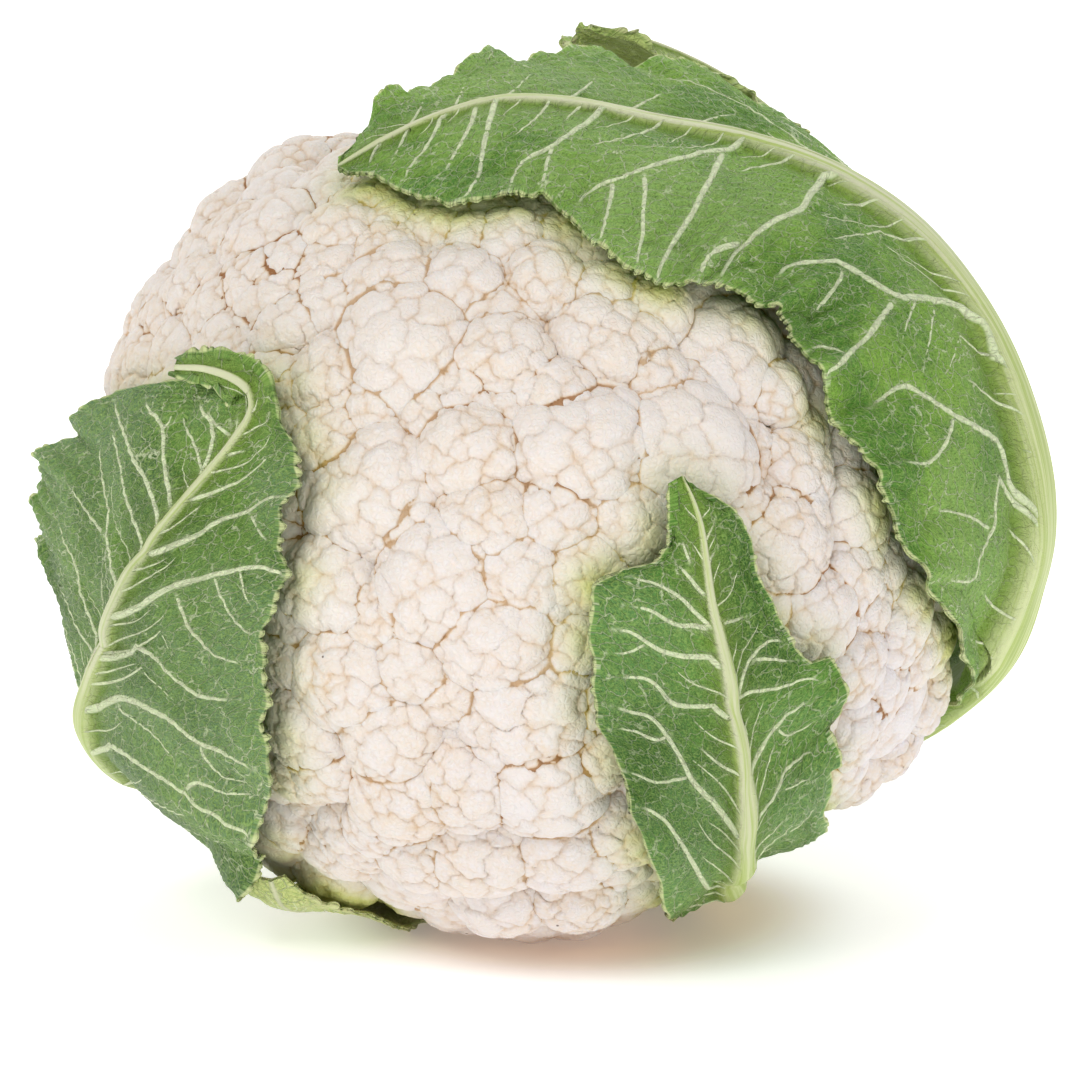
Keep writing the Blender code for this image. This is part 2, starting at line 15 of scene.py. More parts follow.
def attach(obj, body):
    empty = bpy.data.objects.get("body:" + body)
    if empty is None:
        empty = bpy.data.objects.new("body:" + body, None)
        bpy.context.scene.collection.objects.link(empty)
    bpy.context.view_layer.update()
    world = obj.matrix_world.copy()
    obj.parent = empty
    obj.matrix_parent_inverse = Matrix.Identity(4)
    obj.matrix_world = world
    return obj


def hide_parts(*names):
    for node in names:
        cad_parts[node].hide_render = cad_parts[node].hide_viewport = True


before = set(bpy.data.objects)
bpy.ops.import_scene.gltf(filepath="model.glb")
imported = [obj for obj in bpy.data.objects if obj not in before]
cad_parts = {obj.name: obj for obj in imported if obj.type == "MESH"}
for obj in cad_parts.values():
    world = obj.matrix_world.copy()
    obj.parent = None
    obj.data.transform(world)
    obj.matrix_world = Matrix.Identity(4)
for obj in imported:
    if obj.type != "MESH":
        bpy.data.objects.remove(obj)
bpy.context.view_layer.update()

MM = 0.001
COARSER = 1.0

# The head as a whole
FACE_TILT = math.radians(12)
SIGHT_DISTANCE = 1100.0
CURD_RADIUS = 86.0
HEAD_MIDDLE = (-1.89, -2.76, 79.3)
HEAD_AXIS = (-0.19, 0.50, 0.845)

# How far the curd bulges past its radius: direction on the face, height and sharpness
BULGES = [
    ((-0.72, 0.69, 0.10), 9.0, 5),
    ((0.93, -0.33, 0.10), 8.0, 9),
    ((-0.30, 0.30, 0.90), 3.0, 2),
    ((0.60, -0.80, -0.05), -8.0, 8),
    ((-0.34, -0.94, -0.05), -4.5, 12),
    ((0.02, -0.98, -0.20), 3.5, 16),
]

# The underside narrows to the stalk between these angles from the top of the curd
RIM_ANGLE = math.radians(112)
NECK_ANGLE = math.radians(158)
NECK_RADIUS = 55.0
BRANCHES = 9
BRANCH_DEPTH = 4.0

# The stalk, and the stubs of trimmed leaves round its end: (angle, reach, level where it is cut)
STALK_TOP = 50.0
STALK_RADIUS = 17.0
STALK_SWELL = 0.025
STALK_LOBES = 5
STALK_START = 50.35
STALK_END = 103.0
END_ROUNDING = 1.0
STALK_TURNS = 260
STALK_ROWS = (30, 100, 44)
STALK_RIBS = ((0.25, 9.0, 0.05), (0.15, 23.0, 0.0))
INNERMOST = 0.02
CUT_CROWN = 0.5
CUT_SCORES = (0.35, 1.1)
CUT_MARKS = (0.22, 2.3)
CUT_TURN = 0.5
PITH_DIP = 1.6
PITH_SHARE = 0.62
PITH_BLEND = 0.3
STUB_START = 78.0
STUB_FULL = 89.0
STUB_CUT = (0.3, 0.5)
STUB_HALF_ANGLE = math.radians(19)
STUBS = (
    (20, 6.5, 92.2), (72, 7.5, 89.2), (140, 6.0, 92.2),
    (205, 7.0, 89.2), (273, 9.5, 95.2), (328, 7.0, 92.2),
)

# The florets that show, as clusters: (right, up, radius, lift) of each dome
CLUSTERS = {
    "crown_left": [
        (-80, 52, 8.4, 0), (-66, 52, 7.2, 0), (-77, 37, 8.4, 0), (-62, 41, 7.6, 0),
        (-50, 45, 6.3, 0), (-50, 32, 5.1, -1), (-69, 62, 6.3, 0),
    ],
    "top_left_edge": [
        (-64, 70, 7.6, 1), (-51, 79, 8.8, 2), (-40, 78, 6.7, 1), (-52, 63, 8.8, 1), (-39, 64, 6.7, 1),
    ],
    "crown": [
        (-29, 55, 8.0, 1), (-27, 43, 11.8, 3), (-41, 35, 7.2, 1), (-33, 30, 5.5, 0), (-21, 29, 5.1, -1),
    ],
    "top": [
        (-28, 67, 4.2, 0), (-20, 66, 4.6, 0), (-15, 55, 8.0, 1), (-12, 65, 5.1, 0), (-4, 65, 6.3, 1),
        (-5, 40, 7.4, 2), (-6, 30, 5.9, -1),
    ],
    "top_right": [
        (4, 56, 6.7, 2), (16, 53, 6.3, 2), (18, 44, 9.7, 2), (27, 50, 5.9, 2), (27, 36, 5.9, 1),
        (6, 32, 6.3, 1),
    ],
    "right_top": [
        (44, 42, 10.9, 2), (53, 33, 5.5, 2), (36, 33, 4.6, 0), (48, 21, 6.3, -2), (60, 25, 5.5, -1),
    ],
    "middle": [
        (-12, 20, 8.0, 2), (12, 20, 11.4, 4), (34, 21, 11.8, 4), (21, 5, 7.6, 2), (7, 7, 7.2, 2),
        (-8, 5, 7.2, 2), (-19, -7, 10.1, 3), (-2, -6, 7.6, 2), (13, -6, 7.2, 2), (4, -14, 4.6, 0),
    ],
    "left_middle": [
        (-34, 12, 10.9, 2), (-42, 22, 5.9, 1), (-26, 5, 5.5, 0), (-42, 5, 5.1, -3),
    ],
    "left_low": [
        (-43, -9, 8.0, 2), (-32, -15, 6.7, 0), (-39, -29, 9.3, 3), (-25, -26, 5.9, 1),
        (-51, -24, 5.5, 0), (-48, -40, 7.6, 2), (-30, -41, 8.4, 3), (-44, -48, 6.3, 1),
    ],
    "middle_low": [
        (-6, -20, 9.3, 3), (10, -22, 6.7, 1), (1, -36, 11.8, 3), (16, -33, 6.3, 1), (-16, -37, 6.3, -3),
    ],
    "bottom": [
        (-27, -54, 9.7, 3), (-13, -52, 7.6, 3), (4, -52, 9.7, 4), (16, -46, 5.9, 1), (8, -67, 8.8, 3),
        (-10, -68, 9.7, 3), (20, -63, 7.6, 2), (-6, -79, 8.0, 3), (11, -78, 8.0, 3), (-23, -68, 7.6, 2),
        (-33, -62, 5.1, 1),
    ],
    "right_middle": [
        (59, 15, 7.2, 1), (56, 1, 9.7, 2), (71, 6, 8.0, 2), (70, -7, 7.6, 1),
    ],
    "right_low": [
        (63, -15, 8.8, 2), (79, -16, 7.6, 1), (70, -26, 7.2, 1), (81, -31, 7.2, 1), (70, -39, 7.2, 1),
        (80, -43, 6.3, 0), (68, -50, 6.3, 0),
    ],
    "low_left_hollow": [
        (-50, -56, 5.5, -3), (-44, -64, 6.3, -4), (-37, -71, 5.1, -5),
    ],
}

# Florets that don't show: placed by a rule, seeded
HIDDEN_SEED = 7
HIDDEN_TRIES = 900
HIDDEN_RADII = (7.0, 10.5)
HIDDEN_LIFT = -1.0
HIDDEN_CROWDING = 0.86
HIDDEN_BELOW_RIM = math.radians(9)

# The height of a floret's bumps in the solids, in parts of its radius: the leaves lie over them
BUMP_HEIGHT = 0.13

# Directions that fall less than this don't meet the floor near the head
SHALLOWEST_FALL = 0.05
OUT_OF_REACH = 1e6

# The leaves' feet on the stalk, and how close the leaves lie to the curd and the floor
FOOT_LEVEL = 69.0
FOOT_GAP = 1.8
FOOT_SPREAD = 2.2
FOOT_LENGTH = 80.0
FOOT_SHARE = 0.8
LEAST_ANGLE = 1e-4
LEAF_GAP = 1.6
LEAF_REST = 6.0
FLOOR_GAP = 0.4
COVER_SLOPE = 0.3
COVER_FLOOR = -3.0
FREE_STALK = 8.0
LAID_AFTER = 25.0
WAVES_AFTER = 60.0

# The leaves' rows from foot to tip: midrib, right edge and left edge, each (right, up, out).
# An out of None lays that point on the curd.
LEAF_RIGHT = [
    ((68, -38, -42), (62, -48, -40), (72, -25, -50)),
    ((94, -25, -15), (88, -32, -4), (84, -10, -53)),
    ((103, -6, -2), (82, -8, None), (82, 8, -59)),
    ((105, 11, 5), (74, 11, None), (78, 27, -59)),
    ((101, 30, 8), (65, 27, None), (71, 47, -55)),
    ((93, 48, 9), (57, 41, None), (62, 66, -46)),
    ((80, 65, 12), (50, 49, None), (55, 83, -29)),
    ((63, 77, 18), (37, 54, None), (42, 96, -14)),
    ((45, 84, 22), (24, 55, None), (26, 102, -8)),
    ((27, 88, 25), (12, 65, None), (10, 103, -5)),
    ((10, 92, 28), (2, 73, None), (-4, 103, 0)),
    ((-5, 93, 32), (-10, 71, None), (-15, 100, 8)),
    ((-18, 90, 35), (-22, 72, None), (-25, 96, 18)),
    ((-30, 85, 40), (-33, 75, None), (-33, 91, 30)),
    ((-40, 79.5, 46), (-39, 77.5, 48), (-39.5, 81.5, 44)),
]
LEAF_LEFT = [
    ((-66, -44, -46), (-56, -55, -40), (-68, -34, -56)),
    ((-83, -45, -15), (-56, -68, 10), (-80, -26, -48)),
    ((-91, -38, 2), (-56, -62, None), (-90, -13, -42)),
    ((-90, -29, 14), (-54, -46, None), (-98, -4, -28)),
    ((-86, -19, 28), (-55, -31, None), (-101, 4, -16)),
    ((-80, -10, 40), (-55, -17, None), (-103, 11, -4)),
    ((-73, -1, 50), (-50, -5, None), (-102, 18, 6)),
    ((-66, 7, 58), (-49, 6, None), (-97, 24, 18)),
    ((-60, 15, 64), (-46, 14, None), (-88, 30, 32)),
    ((-56, 22, 68), (-46, 20, None), (-76, 33, 48)),
    ((-55, 28, 70), (-50, 26, None), (-64, 32, 60)),
    ((-60, 34, 72), (-56, 38, 71), (-62, 30, 70)),
    ((-67, 37, 70), (-65, 41, 69), (-68, 33.5, 68)),
    ((-74, 37.5, 67), (-73.5, 40, 66.5), (-74, 35.5, 66)),
]
LEAF_FRONT = [
    ((32, -62, -36), (42, -54, -38), (22, -66, -34)),
    ((40, -69, 0), (54, -56, -6), (28, -72, 4)),
    ((42, -68.5, 24), (62, -53, 16), (28, -72.5, 26)),
    ((42.5, -60, 44), (65, -45, None), (24, -61, None)),
    ((42, -48, 55), (65, -34, None), (19, -46, None)),
    ((40.5, -35, 66), (61, -24, None), (14, -33, None)),
    ((38.5, -23, 73), (56, -17, None), (13.5, -22, None)),
    ((36.5, -12, 78), (52, -8, None), (16, -10, None)),
    ((35, -3, 81), (47, 0, None), (23, -3.5, None)),
    ((33.5, 5, 83), (42, 7, None), (28, 4, None)),
    ((30, 13.5, 84), (32, 12.5, None), (28.5, 12.5, None)),
]
LEAF_BACK = [
    ((30, -8, -74), (41, -14, -70), (18, -3, -78)),
    ((42, 14, -88), (58, 4, -78), (18, 18, -92)),
    ((54, 42, -80), (72, 34, -66), (14, 46, -90)),
    ((60, 66, -62), (70, 62, -54), (10, 73, -76)),
    ((56, 83, -42), (60, 82, -36), (10, 90, -56)),
    ((44, 95.5, -27), (48, 93, -22), (8, 99, -43)),
    ((29, 104, -21), (33, 101, -18), (8, 105, -32)),
    ((13, 109, -18), (15, 108, -17), (11, 108.5, -19)),
]
LEAF_INNER = [
    ((-16, -66, -30), (-9, -68, -28), (-24, -62, -32)),
    ((-32, -72, 0), (-24, -75, 4), (-41, -66, -2)),
    ((-42, -68, 14), (-34, -73, 18), (-50, -62, 12)),
    ((-49, -64, 25), (-48, -65, 27), (-51, -62, 24)),
]

# Each leaf: its rows, rib width and height at the foot, edge wave (height, length) in millimetres,
# and its place in the layers round the curd
LEAVES = {
    "leaf_right": (LEAF_RIGHT, (13.0, 6.0), (2.2, 26.0), 1.0),
    "leaf_left": (LEAF_LEFT, (9.0, 5.0), (1.8, 20.0), 2.4),
    "leaf_front": (LEAF_FRONT, (7.0, 4.0), (1.2, 18.0), 1.0),
    "leaf_back": (LEAF_BACK, (10.0, 4.0), (2.0, 24.0), 2.0),
    "leaf_inner": (LEAF_INNER, (6.0, 2.5), (0.6, 14.0), 0.0),
}


def unit(vectors):
    """Vectors at length one, along their last axis."""
    vectors = np.asarray(vectors, dtype=float)
    return vectors / np.linalg.norm(vectors, axis=-1, keepdims=True)


AXIS = unit(HEAD_AXIS)
SIDE = unit(np.cross(AXIS, (0.0, 1.0, 0.0)))
OVER = np.cross(SIDE, AXIS)
ASKEW = unit((0.31, 0.55, 0.77))


def seen_at(right, up, out):
    """The point at depth out on the sight line through a place on the face."""
    nearer = 1.0 - out / SIGHT_DISTANCE
    return np.array((right * nearer, up * nearer, out))


def seen_on_ball(right, up, radius):
    """The near point, at a radius from the middle, on the sight line through a place on the face."""
    eye = np.array((0.0, 0.0, SIGHT_DISTANCE))
    line = unit(np.array((right, up, 0.0)) - eye)
    along = -eye.dot(line)
    nearest = along ** 2 - SIGHT_DISTANCE ** 2 + radius ** 2
    point = eye + line * (along - math.sqrt(max(nearest, 0.0)))
    return point * (radius / np.linalg.norm(point))


def to_world(points):
    """Face millimetres to world metres."""
    points = np.asarray(points, dtype=float)
    sine = math.sin(FACE_TILT)
    cosine = math.cos(FACE_TILT)
    across = points[..., 0]
    depth = points[..., 1] * sine - points[..., 2] * cosine
    height = points[..., 1] * cosine + points[..., 2] * sine
    return (np.stack((across, depth, height), axis=-1) + HEAD_MIDDLE) * MM


def floor_radius(directions):
    """How far each direction runs from the middle before it meets the floor."""
    falling = -(to_world(directions) - to_world(np.zeros(3)))[..., 2] / MM
    reach = HEAD_MIDDLE[2] / np.maximum(falling, SHALLOWEST_FALL)
    return np.where(falling > SHALLOWEST_FALL, reach, OUT_OF_REACH)


def smooth_step(value):
    """A ramp from 0 to 1 with soft ends."""
    value = np.clip(value, 0.0, 1.0)
    return value * value * (3.0 - 2.0 * value)


def base_radius(directions):
    """The curd without its florets: a ball with bulges, whose underside narrows to the stalk."""
    radius = np.full(directions.shape[:-1], CURD_RADIUS)
    for direction, height, sharpness in BULGES:
        toward = np.clip(directions @ unit(direction), 0.0, 1.0)
        radius = radius + height * toward ** sharpness
    polar = np.arccos(np.clip(directions @ AXIS, -1.0, 1.0))
    under = smooth_step((polar - RIM_ANGLE) / (NECK_ANGLE - RIM_ANGLE))
    around = np.arctan2(directions @ OVER, directions @ SIDE)
    ribs = BRANCH_DEPTH * np.sin(BRANCHES * around) * under * (1.0 - under) * 4.0
    return radius + (NECK_RADIUS - radius) * under + ribs


def floret_list():
    """Every floret: unit direction, radius and lift, the ones that show and the ones that don't."""
    directions = []
    sizes = []
    for domes in CLUSTERS.values():
        for right, up, radius, lift in domes:
            directions.append(unit(seen_on_ball(right, up, CURD_RADIUS)))
            sizes.append((radius, lift))
    rng = random.Random(HIDDEN_SEED)
    for _ in range(HIDDEN_TRIES):
        height = rng.uniform(-1.0, 1.0)
        turn = rng.uniform(0.0, 2.0 * math.pi)
        flat = math.sqrt(1.0 - height * height)
        direction = np.array((flat * math.cos(turn), flat * math.sin(turn), height))
        radius = rng.uniform(*HIDDEN_RADII)
        if direction @ AXIS < math.cos(RIM_ANGLE + HIDDEN_BELOW_RIM):
            continue
        apart = np.arccos(np.clip(np.array(directions) @ direction, -1.0, 1.0)) * CURD_RADIUS
        reach = np.array([size[0] for size in sizes]) + radius
        if np.all(apart > HIDDEN_CROWDING * reach):
            directions.append(direction)
            sizes.append((radius, HIDDEN_LIFT))
    return np.array(directions), np.array(sizes)


def curve_through(points, places):
    """A smooth curve through the points, read at places counted from the first point."""
    points = np.asarray(points, dtype=float)
    first = 2.0 * points[0] - points[1]
    last = 2.0 * points[-1] - points[-2]
    padded = np.vstack((first, points, last))
    start = np.clip(np.floor(places).astype(int), 0, len(points) - 2)
    part = (places - start)[:, None]
    before, here, there, after = (padded[start + step] for step in range(4))
    return 0.5 * (
        2.0 * here
        + (there - before) * part
        + (2.0 * before - 5.0 * here + 4.0 * there - after) * part ** 2
        + (3.0 * here - before - 3.0 * there + after) * part ** 3
    )


def foot_of(row, half_width):
    """The foot of a leaf on the stalk's side, facing its first row: midrib, right and left edge."""
    middle = seen_at(*row[0])
    toward = unit(middle - AXIS * (middle @ AXIS))
    beside = np.cross(toward, AXIS)
    centre = -AXIS * FOOT_LEVEL + toward * (STALK_RADIUS + FOOT_GAP)
    spread = (seen_at(*row[1]) - seen_at(*row[2])) @ beside
    beside = beside * math.copysign(half_width, spread)
    return centre, centre + beside, centre - beside


def leaf_rows(rows, half_width):
    """The midrib, the right edge and the left edge of a leaf as points, foot first."""
    tracks = [[place] for place in foot_of(rows[0], half_width)]
    for row in rows:
        for track, (right, up, out) in zip(tracks, row):
            if out is None:
                track.append(seen_on_ball(right, up, CURD_RADIUS + LEAF_REST))
            else:
                track.append(seen_at(right, up, out))
    return [np.array(track) for track in tracks]


def cover_radius(directions, florets, sizes):
    """The height over which a leaf lies: the curd with its grooves bridged."""
    apart = np.arccos(np.clip(directions @ florets.T, -1.0, 1.0)) * CURD_RADIUS
    beyond = np.maximum(apart - sizes[:, 0], 0.0)
    tops = np.max(sizes[:, 1] + BUMP_HEIGHT * sizes[:, 0] - COVER_SLOPE * beyond, axis=1)
    return base_radius(directions) + np.maximum(tops, COVER_FLOOR)


def blade_line(middle, outer, part, along, sign, wave):
    """One line of the blade between midrib and edge, swung round the curd's middle and waved."""
    inner_radius = np.linalg.norm(middle, axis=1)
    outer_radius = np.linalg.norm(outer, axis=1)
    start = middle / inner_radius[:, None]
    stop = outer / outer_radius[:, None]
    angle = np.arccos(np.clip(np.sum(start * stop, axis=1), -1.0, 1.0))
    angle = np.maximum(angle, LEAST_ANGLE)
    swung = (np.sin((1.0 - part) * angle) / np.sin(angle))[:, None] * start
    swung = swung + (np.sin(part * angle) / np.sin(angle))[:, None] * stop
    radius = inner_radius + (outer_radius - inner_radius) * part
    fade = smooth_step(along / WAVES_AFTER) * part ** 3
    phase = 2.0 * math.pi * along / wave[1] + sign
    return unit(swung) * (radius + wave[0] * fade * np.sin(phase))[:, None]


def grid_normals(points):
    """The outward normal at each point of a grid."""
    along = np.gradient(points, axis=0)
    across = np.gradient(points, axis=1)
    normals = unit(np.cross(along, across))
    outward = np.sign(np.sum(normals * points, axis=2, keepdims=True))
    return normals * np.where(outward == 0.0, 1.0, outward)


# How finely the surfaces are drawn, in millimetres
FINE_STEP = 0.36 * COARSER
ROUGH_STEP = 0.60 * COARSER
BASE_STEP = 1.3 * COARSER
LEAF_STEP = 0.97 * COARSER
EDGE_STEP = 0.40 * COARSER
VEIN_STEP = 1.0
FAR_OFF = 99.0

# The florets' finer relief: domes, the lobes on them, the bubbles on those and the grains on those
LOOK_SEED = 11
LEAF_SEED = 100
LOOK_DOME_DEPTH = 0.80
LOOK_REACH = 1.34
DEPTH_BY_LIFT = 0.05
DOME_EDGE = math.radians(97)
DOME_WOBBLE = 0.055
FEWEST_RINGS = 6
FLORET_ROUGHNESS = (0.35, 1.15)
LOBE_WIDEST = 0.44
LOBE_RADII = (1.3, 5.0)
LOBE_TRIES = 340
LOBE_CROWDING = 0.86
LOBE_NARROWING = 0.7
LOBE_HEIGHT = 0.30
LOBE_VARIES = (0.8, 1.2)
LOBE_SUNK = 0.7
LOBE_COVERS = 0.55
LOBE_LEAN = 0.6
LOBE_FILLET = 0.80
LOBE_WARPS = ((0.62, 0.95), (0.30, 2.3))
BUBBLE_SIZE = 3.6
BUBBLE_HEIGHT = 0.36
BUBBLE_FILLET = 1.25
GRAIN_SIZE = 1.55
GRAIN_HEIGHT = 0.16
GRAIN_FILLET = 0.45
BURIED = 1.1

# How far from a border between florets, lobes, bubbles or grains its tan tint reaches: partly the curd's
# own colour, partly painted shade in the creases
CREVICE_FADE = 0.42
GROOVE_FADE = 0.24
PIT_FADE = 0.42
BUBBLE_FADE = 0.16
GRAIN_FADE = 0.12

# The green that a leaf throws on the curd, partly painted light from the leaf and partly the curd's own
# green: how far from the leaf it starts to fade, how fast, and which of the leaf's points count: every
# third row and column
GLOW_REACH = 3.6
GLOW_FADE = 2.7
LEAF_THINNED = 3

# The ground between the florets and the branches under them, which fork from the neck out to the rim:
# (branches for each of the thick ones, share of the way out, turn) of each set
CORE_DEPTH = 5.0
CORE_BLEND = (math.radians(2), math.radians(16))
CORE_GAP = 0.2
BRANCH_RELIEF = 46.0
BRANCH_FORKS = ((1, 0.15, 0.0), (2, 0.6, 0.7), (4, 1.0, 0.3))
BRANCH_BLEND = 0.33
BRANCH_LEVEL = 0.6
BRANCH_SWAY = 0.12

# The core's tints: painted shade over the florets' ground up to the rim, green in the hollows of the
# branches
CORE_SHADOW = 0.9
CORE_LIT_FROM = 0.3
CORE_HOLLOW = (0.5, 2.5)
CORE_GREEN = (0.20, 0.50)

# Where the florets stand further out than in the solids: (right, up), rise and spread
SWELLS = (
    (-60.0, 76.0, 3.0, 15.0),
    (-86.0, 46.0, 3.3, 12.0),
    (-52.0, -68.0, 7.5, 12.0),
    (80.0, -46.0, 2.8, 12.0),
)

# Florets that fill what the others leave open: size, lift and how deep an open place lies
FILL_PLACES = 5000
FILL_APART = 2.0
FILL_RADIUS = 7.5
FILL_VARIES = (0.8, 1.15)
FILL_LIFT = -0.5
FILL_DEPTH = 4.4

# Domes this near may cover part of each other: share of their reaches, and millimetres more
NEAR_DOMES = (1.1, 2.0)

# How much of its square in the map a floret fills, and of the whole map the ground under the florets
MAP_PART = 0.96
MAP_WHOLE = 0.998

# Veins that show on the leaves: (width, points along it as (right, up))
VEINS_RIGHT = [
    (2.0, ((-7, 92.5), (-7.5, 89.5), (-9, 84), (-10, 79), (-12, 74.5), (-14.5, 71.5))),
    (1.6, ((-10.5, 92), (-12, 88), (-15, 82.5), (-18.5, 77))),
    (1.4, ((-18.5, 89), (-21, 84), (-24.5, 80), (-26.5, 76))),
    (1.2, ((-25, 87), (-27.5, 83), (-29, 79))),
    (1.2, ((-32, 83), (-33.5, 80), (-34, 77))),
    (2.0, ((15, 90.5), (10, 87), (5, 83.5), (0.5, 81.5), (-2.5, 78), (-4, 73))),
    (1.4, ((5, 83.5), (4, 80), (3.5, 76.5), (2.5, 73))),
    (2.2, ((44.5, 83.5), (36, 82), (28, 80), (20.5, 77.5), (13.5, 74.5), (10, 71.5))),
    (1.6, ((18, 76), (17.5, 71.5), (16, 66.5), (14.5, 62))),
    (1.6, ((24.5, 78.5), (24.5, 71.5), (24, 64), (22.5, 57.5))),
    (2.0, ((41, 82.5), (38.5, 77), (34.5, 69.5), (31, 64), (28.5, 59.5), (26.5, 53.5))),
    (2.4, ((61.5, 76), (59, 73.5), (57.5, 70.5), (52, 68), (48, 65.5), (45.5, 63), (42, 59.5),
     (39.5, 54))),
    (1.6, ((45.5, 63.5), (41, 62.5), (37.5, 59.5), (35, 54))),
    (1.2, ((74, 66), (68, 65), (62.5, 64))),
    (3.0, ((96, 39), (92, 46.5), (88, 50.5), (81.5, 52), (77.5, 52), (71, 56), (66.5, 58.5),
     (63.5, 59.5), (55, 58.5), (52.5, 56))),
    (1.6, ((66.5, 58.5), (64, 53.5), (61.5, 50.5), (58.5, 48))),
    (2.0, ((77.5, 52), (74, 47.5), (71, 43), (68, 40.5), (65.5, 38), (62.5, 36), (58.5, 33.5))),
    (1.2, ((67, 40.5), (63.5, 41.5), (60.5, 42), (58.5, 40.5))),
    (2.8, ((100, 13.5), (98.5, 21), (95, 24), (90.5, 26.5), (86.5, 29), (81.5, 32.5),
     (78.5, 33.5), (75, 31.5), (72, 29))),
    (1.6, ((89.5, 27), (88, 22), (85.5, 18), (82.5, 17), (78, 18))),
    (2.2, ((98.5, 14), (98, 9.5), (97.5, 3), (95, -3), (93.5, -7.5), (86.5, -7))),
    (1.2, ((97, 3), (94, 5.5), (90, 7), (83.5, 7))),
    (1.0, ((81.5, 51.5), (80, 47.5), (78.5, 41))),
    (1.0, ((85.5, 50.5), (84.5, 43), (83.5, 39))),
    (1.0, ((91, 44), (89, 38), (87, 34.5))),
    (1.0, ((-6, 93), (-1.5, 97), (1.5, 100))),
    (1.2, ((6.5, 92.5), (12, 96), (15, 99.5))),
    (1.2, ((19.5, 90), (25.5, 93.5), (29.5, 96))),
    (1.0, ((-15.5, 91), (-14, 95.5), (-12.5, 99.5))),
    (1.0, ((-25, 87.5), (-22.5, 92), (-21.5, 96))),
    (1.2, ((34, 87.5), (39.5, 90), (44.5, 91))),
]
VEINS_LEFT = [
    (1.6, ((-58, 16.5), (-59.5, 18.5), (-59.5, 21), (-60.5, 24.5), (-60.5, 29))),
    (1.2, ((-59.5, 21.5), (-63.5, 24), (-66.5, 26.5), (-68, 29.5))),
    (2.0, ((-68, 5.5), (-68, 14.5), (-66.5, 18), (-65.5, 22.5), (-66.5, 26), (-68, 28), (-69, 31))),
    (1.2, ((-67.5, 15), (-70, 21), (-71.5, 24.5), (-73, 30))),
    (2.0, ((-73.5, -0.5), (-74.5, 8.5), (-76, 16), (-76.5, 24.5), (-79, 28), (-80.5, 30.5))),
    (1.2, ((-76.5, 24.5), (-74.5, 26), (-74.5, 30))),
    (2.0, ((-75.5, -2.5), (-77, 5.5), (-79.5, 13), (-82.5, 18), (-84.5, 23), (-86, 27.5), (-87, 31))),
    (1.8, ((-78.5, -6.5), (-81.5, 2.5), (-84, 10), (-86, 18.5), (-87.5, 25.5))),
    (1.8, ((-84, -13), (-87, -5), (-88, 1), (-88.5, 8.5), (-89.5, 15), (-90.5, 23))),
    (1.4, ((-88, 1), (-91.5, 5.5), (-94.5, 10), (-97.5, 13.5))),
    (1.8, ((-89.5, -21), (-92, -14.5), (-94, -9.5), (-95, -4), (-97.5, 1), (-99, 6.5))),
    (1.4, ((-90.5, -23), (-94, -18.5), (-97.5, -13.5), (-100, -7.5))),
    (1.2, ((-58, 15), (-55, 18), (-52, 20))),
    (1.8, ((-67, 4), (-62.5, 6), (-58, 7.5), (-54.5, 10), (-50.5, 10.5))),
    (1.2, ((-58, 7), (-56, 2.5), (-53, 0))),
    (2.2, ((-79.5, -11.5), (-73.5, -8.5), (-66.5, -6.5), (-62.5, -5.5), (-56.5, -4.5),
     (-53, -5.5), (-51, -6.5))),
    (1.4, ((-65.5, -6.5), (-63.5, -12.5), (-60, -17.5), (-57, -18.5))),
    (1.2, ((-60, -5.5), (-59, -10.5), (-57.5, -13.5))),
    (1.4, ((-73.5, -10.5), (-71, -17), (-68, -21), (-64, -24), (-58.5, -25))),
    (2.2, ((-82, -21), (-78.5, -23), (-74.5, -27.5), (-71, -30.5), (-67, -32), (-60.5, -32.5))),
    (2.4, ((-88.5, -33.5), (-86, -32), (-81.5, -33), (-77.5, -35), (-73.5, -37.5), (-69, -41.5),
     (-65, -43), (-60.5, -45.5), (-57, -47.5))),
    (1.2, ((-69, -41.5), (-67, -45.5), (-64, -49), (-56, -50))),
    (2.2, ((-87.5, -42), (-81.5, -45.5), (-76.5, -49), (-72, -52), (-69, -55.5), (-65, -57.5),
     (-60.5, -60), (-57.5, -62))),
    (1.4, ((-72, -51.5), (-69, -49.5), (-64, -52), (-55, -53))),
    (1.4, ((-72.5, -60.5), (-70, -61.5), (-66, -63), (-59.5, -62))),
    (1.0, ((-86.5, -34), (-81.5, -37.5), (-77.5, -41), (-73.5, -46.5))),
    (1.0, ((-81.5, -26), (-76.5, -30.5), (-73.5, -33.5))),
    (1.0, ((-77.5, -18), (-75.5, -21.5), (-73.5, -24.5))),
]
